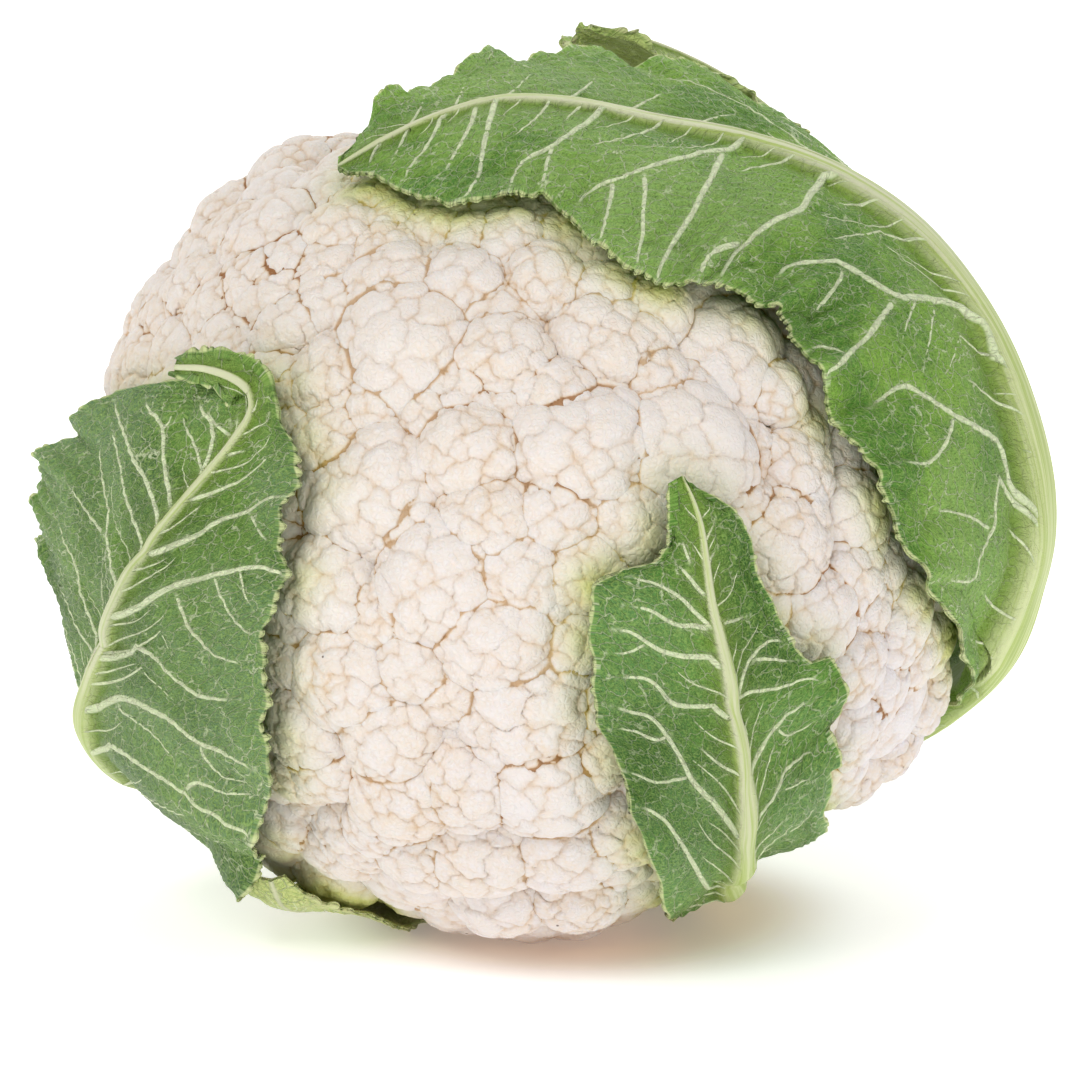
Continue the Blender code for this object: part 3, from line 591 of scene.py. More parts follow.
VEINS_FRONT = [
    (1.4, ((35.5, -8), (33, -5.5), (30.5, -2.5))),
    (1.4, ((36.5, -15.5), (33.5, -12), (29.5, -9), (25, -7.5), (21, -6.5))),
    (1.6, ((38, -17), (34, -16.5), (30, -16), (26, -13.5), (20, -12.5))),
    (1.8, ((38, -23), (33, -23.5), (28, -22), (25.5, -20.5), (21.5, -18), (17.5, -17.5))),
    (1.0, ((25.5, -20.5), (21.5, -22.5), (16.5, -23))),
    (1.8, ((38.5, -33.5), (32.5, -33.5), (29.5, -32.5), (27, -29.5), (24, -27.5), (17.5, -28))),
    (2.0, ((38.5, -53.5), (36.5, -51.5), (34, -48.5), (31.5, -43.5), (28.5, -39), (26.5, -36.5),
     (22.5, -35), (16, -33.5))),
    (1.2, ((26.5, -36.5), (28.5, -34.5), (30.5, -33))),
    (1.2, ((34, -48.5), (30.5, -49.5), (26.5, -50), (23.5, -48.5), (20, -47))),
    (1.8, ((38.5, -72.5), (36.5, -70), (34.5, -66.5), (32, -62.5), (29.5, -58.5), (26.5, -56),
     (22.5, -54.5))),
    (1.0, ((34.5, -66.5), (32.5, -68), (30.5, -68.5))),
    (1.2, ((30, -40), (26.5, -41), (22.5, -39), (17.5, -38.5))),
    (1.2, ((36, -8.5), (38, -3.5), (40, 0))),
    (1.2, ((39, -16.5), (44, -15.5), (47, -15))),
    (1.6, ((43.5, -32), (45, -27.5), (46.5, -24.5), (49, -21.5), (51.5, -19.5), (55, -21))),
    (1.2, ((47, -23.5), (52, -24), (58, -24))),
    (1.4, ((43.5, -32), (47, -30.5), (53, -30), (58, -28), (63, -28.5))),
    (1.8, ((44.5, -50.5), (46.5, -46.5), (49, -42.5), (52, -38), (55.5, -35), (60.5, -32.5))),
    (1.0, ((52, -38), (54.5, -40), (58, -38.5), (62.5, -36))),
    (1.6, ((44.5, -58), (48, -56.5), (52, -52.5), (54, -47.5), (57, -44.5), (61, -43))),
    (1.0, ((53, -51.5), (57.5, -50), (61, -48))),
    (1.2, ((44, -64), (47, -63.5), (51.5, -60.5), (55.5, -56))),
    (1.0, ((34, -3), (33, 0), (32, 3))),
    (1.0, ((36.5, -0.5), (38.5, 3), (39.5, 6.5))),
]

# Each leaf's finish: veins that show, depth of its edge's lobes, swing of its edge and tooth length
LEAF_LOOKS = {
    "leaf_right": (VEINS_RIGHT, 1.5, 1.2, 1.2),
    "leaf_left": (VEINS_LEFT, 1.7, 1.5, 1.4),
    "leaf_front": (VEINS_FRONT, 1.0, 0.8, 0.7),
    "leaf_back": ([], 1.6, 1.4, 1.6),
    "leaf_inner": ([], 1.2, 0.8, 1.2),
}

# Steps in a leaf's outline: by the share of the way to its tip, how far its left or right edge stands out
OUTLINE_STEPS = {
    ("leaf_front", -1.0): (
        (0.80, 0.0), (0.85, 0.8), (0.888, 3.0), (0.903, 2.4), (0.915, -3.0), (0.935, -3.2), (0.955, -0.8),
        (1.0, 0.0),
    ),
    ("leaf_front", 1.0): (
        (0.28, 0.0), (0.38, -4.5), (0.48, -5.0), (0.55, -1.5), (0.66, 1.4), (0.715, 2.6), (0.728, 2.6),
        (0.742, -1.8), (0.78, -1.8), (0.86, -2.6), (0.92, -0.5), (1.0, 0.0),
    ),
    ("leaf_left", 1.0): ((0.50, 0.0), (0.60, 1.8), (0.70, 2.8), (0.77, 0.0)),
}

# Each leaf's rib, by the share of the way from foot to tip: half width to the left, to the right, rise
RIB_LOOKS = {
    "leaf_right": (
        (0.0, 8.0, 8.0, 6.0), (0.20, 9.0, 15.0, 6.2), (0.28, 9.0, 20.0, 6.2), (0.36, 9.0, 19.0, 6.0),
        (0.42, 8.5, 15.0, 5.5), (0.48, 8.0, 12.5, 5.2), (0.56, 6.5, 10.5, 4.6), (0.64, 5.0, 8.0, 3.8),
        (0.72, 3.8, 5.0, 2.9), (0.82, 2.6, 2.8, 1.9), (1.0, 0.6, 0.6, 0.4),
    ),
    "leaf_left": (
        (0.0, 5.5, 5.5, 4.5), (0.30, 6.5, 8.0, 4.8), (0.43, 6.0, 8.0, 4.6), (0.50, 4.8, 6.5, 4.0),
        (0.58, 3.8, 4.6, 3.4), (0.66, 2.8, 3.2, 2.7), (0.75, 1.9, 2.0, 1.9), (0.88, 1.2, 1.2, 1.2),
        (1.0, 0.5, 0.5, 0.4),
    ),
    "leaf_front": (
        (0.0, 3.8, 3.8, 3.4), (0.40, 3.7, 3.7, 3.2), (0.55, 3.4, 3.4, 2.8), (0.66, 3.0, 3.0, 2.4),
        (0.75, 2.4, 2.4, 2.0), (0.82, 1.8, 1.8, 1.6), (0.88, 1.2, 1.2, 1.1), (1.0, 0.4, 0.4, 0.3),
    ),
    "leaf_back": (
        (0.0, 6.0, 6.0, 5.0), (0.35, 5.0, 5.0, 4.0), (0.60, 3.0, 3.0, 2.6), (0.80, 1.7, 1.7, 1.4),
        (1.0, 0.6, 0.6, 0.4),
    ),
    "leaf_inner": ((0.0, 2.5, 2.5, 1.6), (0.5, 1.5, 1.5, 1.0), (1.0, 0.5, 0.5, 0.3)),
}

# A leaf's edge: its broad lobes, which drift to and fro, and the shallow ones on them (height, length)
EDGE_DRIFT = (2.0, 11.0)
BROAD_LOBES = (0.55, 3.9)
SHALLOW_LOBES = (0.30, 1.7)
LOBES_SET_BACK = 0.25
LOBES_END = 12.0
LOBES_GROWN_AFTER = 40.0
LOBES_RAMP = (0.55, 0.45)
RUFFLE_RAMP = (0.5, 0.5)
LONG_RUFFLE = (0.55, 2.3)
SHORT_RUFFLE = (0.45, 1.1)
LEAST_SPAN = 4.0
MIDRIB_SAMPLES = 900

# The relief of the blade, and of the rib that runs through it
RIB_SPAN_SHARE = 0.8
RIB_FLATNESS = 2.6
RIB_ROUNDING = 0.75
RIB_FOOT_HEIGHT = 0.10
RIB_FOOT_SHARE = 0.35
RIB_FOOT_REACH = 0.6
EDGE_SHARE = 0.10
EDGE_THICKNESS = 0.35
BLADE_THIN = 0.75
SHOULDER_HEIGHT = 0.28
SHOULDER_WIDTH = 1.8
QUILTING = 0.75
QUILT_FADE = 2.2
QUILT_LEVEL = 0.45
CRUMPLE = 0.22

# The veins: how far apart they start, how clear they keep and how they join
VEIN_APART = 9.0
VEIN_CLEAR = 4.0
VEIN_WIDTH = 1.7
VEIN_REACHES = (0.82, 0.93)
VEIN_LEANS = (0.45, 0.8)
VEIN_JOINS = 26.0
VEIN_BRANCHES = 3.0
VEIN_TOUCHES = 0.5
VEIN_SINKS = 0.50
VEIN_RISE = 0.42
VEIN_SLIM = 0.70
VEIN_END_WIDTH = 0.4
VEINS_FROM = 12.0
VEINS_UP_TO = 0.96
VEIN_FEWEST = 5
VEIN_SHORTEST = 7
VEIN_LEAST_SHARE = 0.25
VEIN_ROOT = 4
VEIN_SMOOTHED = 3
VEIN_STRAYS = (-0.2, 0.2)
VEIN_GAPS = (0.8, 1.25)
VEIN_BEND = (0.04, 7.0)
VEIN_CURVE = 1.3
VEIN_THINS = 0.35
JOIN_LEAN = 0.9
JOIN_CURVE = 0.8
GAP_COUNTS = 4.0
MINOR_APART = 3.4
MINOR_CLEAR = 1.4
MINOR_WIDTH = 0.95
MINOR_REACHES = (0.35, 0.75)
RIB_INSIDE = 0.3
NEAR_LINE = 1.4
FACING = 0.05

# Places across a raised vein, in half widths, its height there and how pale it is
VEIN_ACROSS = (-2.2, -1.3, -0.85, -0.45, 0.0, 0.45, 0.85, 1.3, 2.2)
VEIN_HEIGHTS = (-0.30, 0.02, 0.50, 0.90, 1.0, 0.90, 0.50, 0.02, -0.30)
VEIN_PALENESS = (0.0, 0.05, 0.75, 1.0, 1.0, 1.0, 0.75, 0.05, 0.0)

# How a raised vein comes up and ends, in rows, and how it sinks at its end and into the rib
VEIN_RISES_IN = 2.0
VEIN_ENDS_IN = 4.0
VEIN_END_SINK = 0.25
VEIN_RIB_SINK = 1.5
VEIN_SINKS_IN = 0.3
VEIN_OVER_RIB = 0.8

# Tints on the leaves, the one beside the rib partly painted shade, (strength, millimetres that they fade
# in), and the two halves of a leaf's map
BESIDE_FADE = 2.8
VEIN_TINT = (0.5, 0.8)
MARGIN_TINT = (0.4, 0.9)
FLAT_SCALE = 0.01
HALF_MAP = 0.49
OTHER_HALF = 0.505

# Teeth along a leaf's edge, and the strip that holds them: distances and half thicknesses
TOOTH_SPACINGS = (1.3, 4.2)
TOOTH_HEIGHTS = (0.35, 1.0)
TOOTH_LEANS = (0.8, 1.5)
TOOTH_ROUNDING = 0.8
TOOTH_CURLS = (1.7, 0.6)
EDGE_STANDS = 0.25
TEETH_FROM = 25.0
TEETH_GROWN_AFTER = 20.0
TEETH_END = 4.0
TOOTH_ROWS = ((-1.8, 0.02), (-0.9, 0.24), (-0.2, 0.40), (0.35, 0.42), (0.75, 0.40), (1.0, 0.16))


def on_floor(points):
    """Face millimetres as world metres, with nothing below the floor."""
    placed = to_world(points)
    placed[:, 2] = np.maximum(placed[:, 2], 0.0)
    return placed


def mesh_object(name, points, faces, values, finish, maps):
    """A smooth object over face points and triangles, with its values at points and its face maps."""
    mesh = bpy.data.meshes.new(name)
    mesh.vertices.add(len(points))
    mesh.vertices.foreach_set("co", on_floor(points).astype(np.float32).ravel())
    mesh.loops.add(faces.size)
    mesh.loops.foreach_set("vertex_index", faces.astype(np.int32).ravel())
    mesh.polygons.add(len(faces))
    mesh.polygons.foreach_set("loop_start", np.arange(0, faces.size, 3, dtype=np.int32))
    mesh.polygons.foreach_set("use_smooth", np.ones(len(faces), dtype=bool))
    mesh.update(calc_edges=True)
    for label, value in values.items():
        layer = mesh.attributes.new(label, "FLOAT", "POINT")
        layer.data.foreach_set("value", value.astype(np.float32))
    for label, places in maps.items():
        layer = mesh.uv_layers.new(name=label)
        layer.data.foreach_set("uv", places[faces.ravel()].astype(np.float32).ravel())
    mesh.materials.append(finish)
    made = bpy.data.objects.new(name, mesh)
    bpy.context.scene.collection.objects.link(made)
    return made


def place_piece(piece, node):
    """The piece stands for a CAD node and rides with it."""
    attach(piece, "root")
    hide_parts(node)


def swell(directions):
    """How much further out the florets stand than in the solids, for directions from the middle."""
    rise = np.zeros(directions.shape[:-1])
    for right, up, height, spread in SWELLS:
        toward = directions @ unit(seen_on_ball(right, up, CURD_RADIUS))
        away = np.arccos(np.clip(toward, -1.0, 1.0)) * CURD_RADIUS
        rise = rise + height * np.exp(-((away / spread) ** 2))
    return rise


def make_dome(direction, radius, lift, rng):
    """A floret's dome: an oval cap, a little out of round."""
    side = unit(np.cross(direction, ASKEW))
    lobe = min(LOBE_WIDEST * radius, LOBE_RADII[1])
    depth = (LOOK_DOME_DEPTH + DEPTH_BY_LIFT * lift) * radius
    top = float(base_radius(direction) + swell(direction)) + lift - LOBE_SUNK * LOBE_HEIGHT * lobe
    return {
        "middle": direction * (top - depth),
        "direction": direction,
        "axes": np.stack((side, np.cross(direction, side), direction)),
        "reach": LOOK_REACH * radius,
        "depth": depth,
        "wobble": rng.uniform(0.0, 2.0 * math.pi, 3),
        "lobe": lobe,
        "raised": LOBE_COVERS * LOBE_HEIGHT * lobe,
    }


def out_of_round(dome, turn):
    """How far a dome reaches at a turn round its axis, in parts of its mean reach."""
    first, second, _ = dome["wobble"]
    return 1.0 + DOME_WOBBLE * (np.sin(2.0 * turn + first) + 0.7 * np.sin(3.0 * turn + second))


def on_dome(dome, tilt, turn):
    """Points and outward normals on a dome, by the tilt from its axis and the turn round it."""
    reach = dome["reach"] * out_of_round(dome, turn)
    depth = dome["depth"]
    flat = np.sin(tilt)
    ahead = np.stack((np.cos(turn), np.sin(turn)), axis=-1)
    local = np.concatenate((ahead * (reach * flat)[:, None], (depth * np.cos(tilt))[:, None]), axis=1)
    slope = np.concatenate((ahead * (flat / reach)[:, None], (np.cos(tilt) / depth)[:, None]), axis=1)
    return dome["middle"] + local @ dome["axes"], unit(slope) @ dome["axes"]


def above_dome(dome, points, raised):
    """How far points stand above a dome that is raised by some millimetres, along lines to its middle."""
    local = (points - dome["middle"]) @ dome["axes"].T
    turn = np.arctan2(local[:, 1], local[:, 0])
    reach = dome["reach"] * out_of_round(dome, turn) + raised
    across = np.hypot(local[:, 0], local[:, 1]) / reach
    share = np.maximum(np.hypot(across, local[:, 2] / (dome["depth"] + raised)), 1e-6)
    return np.linalg.norm(local, axis=1) * (1.0 - 1.0 / share)


def pack_lobes(dome, rng):
    """The lobes of a floret, packed over its dome at random, the wide ones first: middles and radii."""
    shares = rng.uniform(0.0, 1.0, LOBE_TRIES)
    tilts = np.arccos(1.0 - shares * (1.0 - math.cos(DOME_EDGE)))
    spots = on_dome(dome, tilts, rng.uniform(0.0, 2.0 * math.pi, LOBE_TRIES))[0]
    narrowing = (np.arange(LOBE_TRIES) / LOBE_TRIES) ** LOBE_NARROWING
    sizes = dome["lobe"] * (LOBE_RADII[0] / dome["lobe"]) ** narrowing
    kept = np.zeros((LOBE_TRIES, 3))
    kept_sizes = np.zeros(LOBE_TRIES)
    count = 0
    for spot, size in zip(spots, sizes):
        room = LOBE_CROWDING * (kept_sizes[:count] + size)
        if np.all(np.sum((kept[:count] - spot) ** 2, axis=1) > room ** 2):
            kept[count] = spot
            kept_sizes[count] = size
            count += 1
    return kept[:count], kept_sizes[:count]


def nearest_lobes(points, centres, radii):
    """Whose lobe each point is on, and how far it is from the border and from the next corner."""
    apart = np.sum(points ** 2, axis=1)[:, None] + np.sum(centres ** 2, axis=1) - 2.0 * points @ centres.T
    apart = np.sqrt(np.maximum(apart, 0.0)) - radii
    nearest = np.argpartition(apart, 2, axis=1)[:, :3]
    rows = np.arange(len(points))[:, None]
    order = np.argsort(apart[rows, nearest], axis=1)
    nearest = nearest[rows, order]
    found = apart[rows, nearest]
    return nearest[:, 0], 0.5 * (found[:, 1] - found[:, 0]), 0.5 * (found[:, 2] - found[:, 0])


def warped(points):
    """Points moved a little to and fro, so that borders between them run less straight."""
    moved = points
    for swing, turns in LOBE_WARPS:
        moved = moved + swing * np.sin(points[:, (1, 2, 0)] * turns + points[:, (2, 0, 1)] * 0.4 * turns)
    return moved


def cell_edges(points, size):
    """How far each point is from the border of the cell it is in, for cells of a size in millimetres."""
    edges = np.zeros(len(points))
    for index, point in enumerate(points / size):
        near, after = noise.voronoi(point)[0][:2]
        edges[index] = 0.5 * size * (after - near)
    return edges


def rounded_edge(gap, width):
    """A height from 0 to 1 that rises steeply from an edge and levels out at a width."""
    return np.sqrt(1.0 - (1.0 - np.clip(gap / width, 0.0, 1.0)) ** 2)


def ring_faces(rings):
    """Triangles between a middle point and rings of six, twelve, eighteen and more points."""
    faces = []
    for ring in range(1, rings + 1):
        inner = 1 + 3 * (ring - 1) * (ring - 2) if ring > 1 else 0
        outer = 1 + 3 * ring * (ring - 1)
        sector, step = np.divmod(np.arange(6 * ring), ring)
        after = (np.arange(6 * ring) + 1) % (6 * ring)
        within = max(6 * (ring - 1), 1)
        near = (sector * (ring - 1) + step) % within
        faces.append(np.stack((outer + np.arange(6 * ring), outer + after, inner + near), axis=1))
        if ring > 1:
            sector, step = np.divmod(np.arange(6 * (ring - 1)), ring - 1)
            near = np.arange(6 * (ring - 1))
            far = (sector * ring + step + 1) % (6 * ring)
            faces.append(np.stack((inner + near, outer + far, inner + (near + 1) % within), axis=1))
    return np.concatenate(faces)


def dome_rings(dome, step):
    """How many rings of points a dome has, and each point's tilt from its axis and turn round it."""
    girth = DOME_EDGE * 0.5 * (dome["reach"] + dome["depth"])
    rings = max(int(girth / step), FEWEST_RINGS)
    counts = np.maximum(6 * np.arange(rings + 1), 1)
    ring = np.repeat(np.arange(rings + 1), counts)
    starts = np.concatenate(([0], np.cumsum(counts)[:-1]))
    turn = 2.0 * math.pi * (np.arange(len(ring)) - starts[ring]) / counts[ring]
    return rings, DOME_EDGE * ring / rings, turn


def floret_mesh(dome, neighbours, step, rng):
    """One floret's bumpy surface where it stands clear of its neighbours, with its values at points."""
    rings, tilt, turn = dome_rings(dome, step)
    points, normals = on_dome(dome, tilt, turn)

    centres, radii = pack_lobes(dome, rng)
    owner, gap, corner = nearest_lobes(warped(points), warped(centres), radii)
    tall = (LOBE_HEIGHT * radii * rng.uniform(*LOBE_VARIES, len(radii)))[owner]
    lobe = tall * rounded_edge(gap, LOBE_FILLET * radii[owner])
    leaning = unit(normals + LOBE_LEAN * (points - centres[owner]) / radii[owner][:, None])
    placed = points + normals * lobe[:, None]

    clear = np.full(len(points), FAR_OFF)
    for other in neighbours:
        clear = np.minimum(clear, above_dome(other, placed, other["raised"]))
    faces = ring_faces(rings)
    faces = faces[np.max(clear[faces], axis=1) > -BURIED]
    used = np.unique(faces)
    number = np.zeros(len(points), dtype=np.int64)
    number[used] = np.arange(len(used))
    placed = placed[used]
    rough = rng.uniform(*FLORET_ROUGHNESS)
    bubbles = cell_edges(warped(placed), BUBBLE_SIZE)
    edges = cell_edges(placed, GRAIN_SIZE)
    rise = BUBBLE_HEIGHT * rough * rounded_edge(bubbles, BUBBLE_FILLET)
    rise = rise + GRAIN_HEIGHT * rough * rounded_edge(edges, GRAIN_FILLET)
    placed = placed + leaning[used] * rise[:, None]
    tones = rng.uniform(0.0, 1.0, len(centres))
    # Where florets, lobes, bubbles and grains meet, for their tan lines: partly the curd's own colour,
    # partly painted shade in the creases
    values = {
        "crevice": np.exp(-np.maximum(clear[used], 0.0) / CREVICE_FADE),
        "groove": np.exp(-gap[used] / GROOVE_FADE),
        "pit": np.exp(-corner[used] / PIT_FADE),
        "bubble": rough * np.exp(-bubbles / BUBBLE_FADE),
        "grain": rough * np.exp(-edges / GRAIN_FADE),
        "tone": 0.5 * tones[owner[used]] + 0.5 * rng.uniform(0.0, 1.0),
    }
    flat = tilt / DOME_EDGE * 0.5
    place = np.stack((0.5 + flat * np.cos(turn), 0.5 + flat * np.sin(turn)), axis=1)
    return placed, number[faces], values, place[used]


def join_meshes(parts, name, finish, leaf_tree):
    """One object of several floret meshes, each with its own square of the piece's map."""
    side = math.ceil(math.sqrt(len(parts)))
    places = []
    for index, part in enumerate(parts):
        row, column = divmod(index, side)
        places.append((part[3] * MAP_PART + 0.5 * (1.0 - MAP_PART) + (column, row)) / side)
    offsets = np.cumsum([0] + [len(part[0]) for part in parts[:-1]])
    points = np.concatenate([part[0] for part in parts])
    faces = np.concatenate([part[1] + offset for part, offset in zip(parts, offsets)])
    values = {key: np.concatenate([part[2][key] for part in parts]) for key in parts[0][2]}
    # Painted green light from the nearby leaves, with some of the curd's own green
    values["leafy"] = near_leaves(points, leaf_tree)
    return mesh_object(name, points, faces, values, finish, {"OFBake": np.concatenate(places)})


def tree_of(points):
    """A tree of points, for finding the nearest ones."""
    tree = KDTree(max(len(points), 1))
    for index, point in enumerate(points):
        tree.insert(point, index)
    tree.balance()
    return tree


def near_leaves(points, leaf_tree):
    """How close each point of the curd lies to a leaf, from 0 to 1."""
    close = np.zeros(len(points))
    for index, point in enumerate(points):
        close[index] = math.exp(-max(leaf_tree.find(point)[2] - GLOW_REACH, 0.0) / GLOW_FADE)
    return close


def even_directions(count):
    """Directions spread evenly over a ball."""
    steps = np.arange(count) + 0.5
    height = 1.0 - 2.0 * steps / count
    flat = np.sqrt(1.0 - height ** 2)
    turn = steps * math.pi * (3.0 - math.sqrt(5.0))
    return np.stack((flat * np.cos(turn), flat * np.sin(turn), height), axis=1)


def filling_domes(domes, rng):
    """More domes, where the others leave the curd open."""
    directions = even_directions(FILL_PLACES)
    directions = directions[directions @ AXIS > math.cos(RIM_ANGLE)]
    points = directions * (base_radius(directions) - FILL_DEPTH)[:, None]
    is_open = np.ones(len(points), dtype=bool)
    for dome in domes:
        is_open &= above_dome(dome, points, 0.0) > 0.0
    filling = []
    while np.any(is_open):
        left = np.nonzero(is_open)[0]
        chosen = directions[left[rng.integers(len(left))]]
        dome = make_dome(chosen, FILL_RADIUS * rng.uniform(*FILL_VARIES), FILL_LIFT, rng)
        is_open &= above_dome(dome, points, 0.0) > 0.0
        is_open &= directions @ chosen < math.cos(FILL_APART / CURD_RADIUS)
        filling.append(dome)
    return filling


def curd_domes():
    """The domes of each visible cluster and the hidden ones, fillers with those they stand next to."""
    rng = np.random.default_rng(LOOK_SEED)
    directions, sizes = floret_list()
    domes = [make_dome(direction, size[0], size[1], rng) for direction, size in zip(directions, sizes)]
    owners = [cluster for cluster, members in CLUSTERS.items() for _ in members]
    owners += [None] * (len(domes) - len(owners))
    filling = filling_domes(domes, rng)
    for dome in filling:
        nearest = int(np.argmax(directions @ dome["direction"]))
        owners.append(owners[nearest])
    groups = {}
    for dome, owner in zip(domes + filling, owners):
        if owner is None:
            owner = "behind_left" if dome["direction"][0] < 0.0 else "behind_right"
        groups.setdefault(owner, []).append(dome)
    return domes + filling, groups


def near_domes(dome, domes):
    """The other domes that may cover part of this one."""
    close = []
    share, margin = NEAR_DOMES
    for other in domes:
        gap = np.linalg.norm(other["middle"] - dome["middle"])
        if other is not dome and gap < share * (dome["reach"] + other["reach"]) + margin:
            close.append(other)
    return close


def build_curd(finish, leaf_tree):
    """The curd's florets, a piece for each cluster."""
    domes, groups = curd_domes()
    rng = np.random.default_rng(LOOK_SEED + 1)
    for name, members in groups.items():
        step = ROUGH_STEP if name.startswith("behind") else FINE_STEP
        parts = [floret_mesh(dome, near_domes(dome, domes), step, rng) for dome in members]
        parts = [part for part in parts if len(part[1])]
        piece = join_meshes(parts, "curd_" + name, finish, leaf_tree)
        place_piece(piece, "curd")


def branch_relief(polar, around):
    """The thick branches under the curd, forking from the neck out to the rim."""
    rise = smooth_step((NECK_ANGLE - polar) / (NECK_ANGLE - RIM_ANGLE))
    relief = np.zeros(len(polar))
    weight = np.zeros(len(polar))
    for forks, level, shift in BRANCH_FORKS:
        count = forks * BRANCHES
        share = np.exp(-((rise - level) / BRANCH_BLEND) ** 2)
        swing = around + BRANCH_SWAY * np.sin(3.0 * around + 9.0 * polar) + shift
        ridge = np.sqrt(np.abs(np.cos(0.5 * count * swing)))
        relief += share * (ridge - BRANCH_LEVEL) * BRANCH_RELIEF / count
        weight += share
    return relief / weight


def core_radius(directions):
    """The curd's inside: below its florets, and the bare branches under its rim."""
    polar = np.arccos(np.clip(directions @ AXIS, -1.0, 1.0))
    around = np.arctan2(directions @ OVER, directions @ SIDE)
    early, width = CORE_BLEND
    under = smooth_step((polar - RIM_ANGLE + early) / width)
    radius = base_radius(directions) - CORE_DEPTH * (1.0 - under)
    relief = branch_relief(polar, around)
    radius = radius + under * relief
    behind = directions @ -AXIS
    seated = math.cos(math.pi - NECK_ANGLE)
    radius = np.where(behind > seated, STALK_TOP / np.maximum(behind, seated), radius)
    return np.minimum(radius, floor_radius(directions) - CORE_GAP), under, relief


def build_core(finish):
    """The branches under the curd and the closed ground between its florets, as one skin."""
    turns = int(2.0 * math.pi * CURD_RADIUS / BASE_STEP)
    levels = int(math.pi * CURD_RADIUS / BASE_STEP)
    polar = np.linspace(0.0, math.pi, levels + 1)[1:-1]
    around = np.arange(turns) * 2.0 * math.pi / turns
    tilt, turn = (grid.ravel() for grid in np.meshgrid(polar, around, indexing="ij"))
    spokes = np.cos(turn)[:, None] * SIDE + np.sin(turn)[:, None] * OVER
    directions = np.cos(tilt)[:, None] * AXIS + np.sin(tilt)[:, None] * spokes
    directions = np.vstack((directions, AXIS, -AXIS))
    radius, under, relief = core_radius(directions)
    rows = levels - 1
    here = np.arange(rows * turns).reshape(rows, turns)
    there = np.roll(here, -1, axis=1)
    faces = [
        np.stack((here[:-1], here[1:], there[1:]), axis=-1).reshape(-1, 3),
        np.stack((here[:-1], there[1:], there[:-1]), axis=-1).reshape(-1, 3),
        np.stack((here[0], there[0], np.full(turns, rows * turns)), axis=-1),
        np.stack((there[-1], here[-1], np.full(turns, rows * turns + 1)), axis=-1),
    ]
    shadow = 1.0 - CORE_SHADOW * smooth_step(under / CORE_LIT_FROM)
    hollow = np.clip((CORE_HOLLOW[0] - relief) / CORE_HOLLOW[1], 0.0, 1.0)
    values = {label: np.zeros(len(radius)) for label in ("groove", "pit", "bubble", "grain")}
    values["crevice"] = shadow
    values["tone"] = np.full(len(radius), 0.5)
    values["leafy"] = under * (CORE_GREEN[0] + CORE_GREEN[1] * hollow)
    turn = np.append(turn, (0.0, 0.0)) / (2.0 * math.pi)
    tilt = np.append(tilt, (0.0, math.pi)) / math.pi
    place = np.stack((turn, tilt), axis=1) * MAP_WHOLE
    points = directions * radius[:, None]
    piece = mesh_object("curd_branches", points, np.concatenate(faces), values, finish, {"OFBake": place})
    place_piece(piece, "curd")


def steady_rows(midrib, step):
    """Places along a midrib, counted as curve_through does, at even steps of its length."""
    fine = np.linspace(0.0, len(midrib) - 1.0, MIDRIB_SAMPLES)
    line = curve_through(midrib, fine)
    along = np.concatenate(([0.0], np.cumsum(np.linalg.norm(np.diff(line, axis=0), axis=1))))
    count = int(along[-1] / step)
    even = np.linspace(0.0, along[-1], count + 1)
    return np.interp(even, along, fine), even


def lobed(along, depth, rng):
    """How far a leaf's edge runs out past its plain outline: broad lobes and shallow ones on them."""
    start = rng.uniform(0.0, 50.0, 4)
    drift = EDGE_DRIFT[0] * np.sin(along / EDGE_DRIFT[1] + start[0])
    broad = np.sin((along + drift) / BROAD_LOBES[1] + start[1])
    shallow = np.sin(along / SHALLOW_LOBES[1] + start[2])
    return depth * (BROAD_LOBES[0] * broad + SHALLOW_LOBES[0] * shallow - LOBES_SET_BACK)


def rib_size(name, share):
    """The rib at shares of the way to a leaf's tip: its half widths to the left and right, and its rise."""
    places, left, right, rise = zip(*RIB_LOOKS[name])
    return tuple(np.interp(share, places, sizes) for sizes in (left, right, rise))


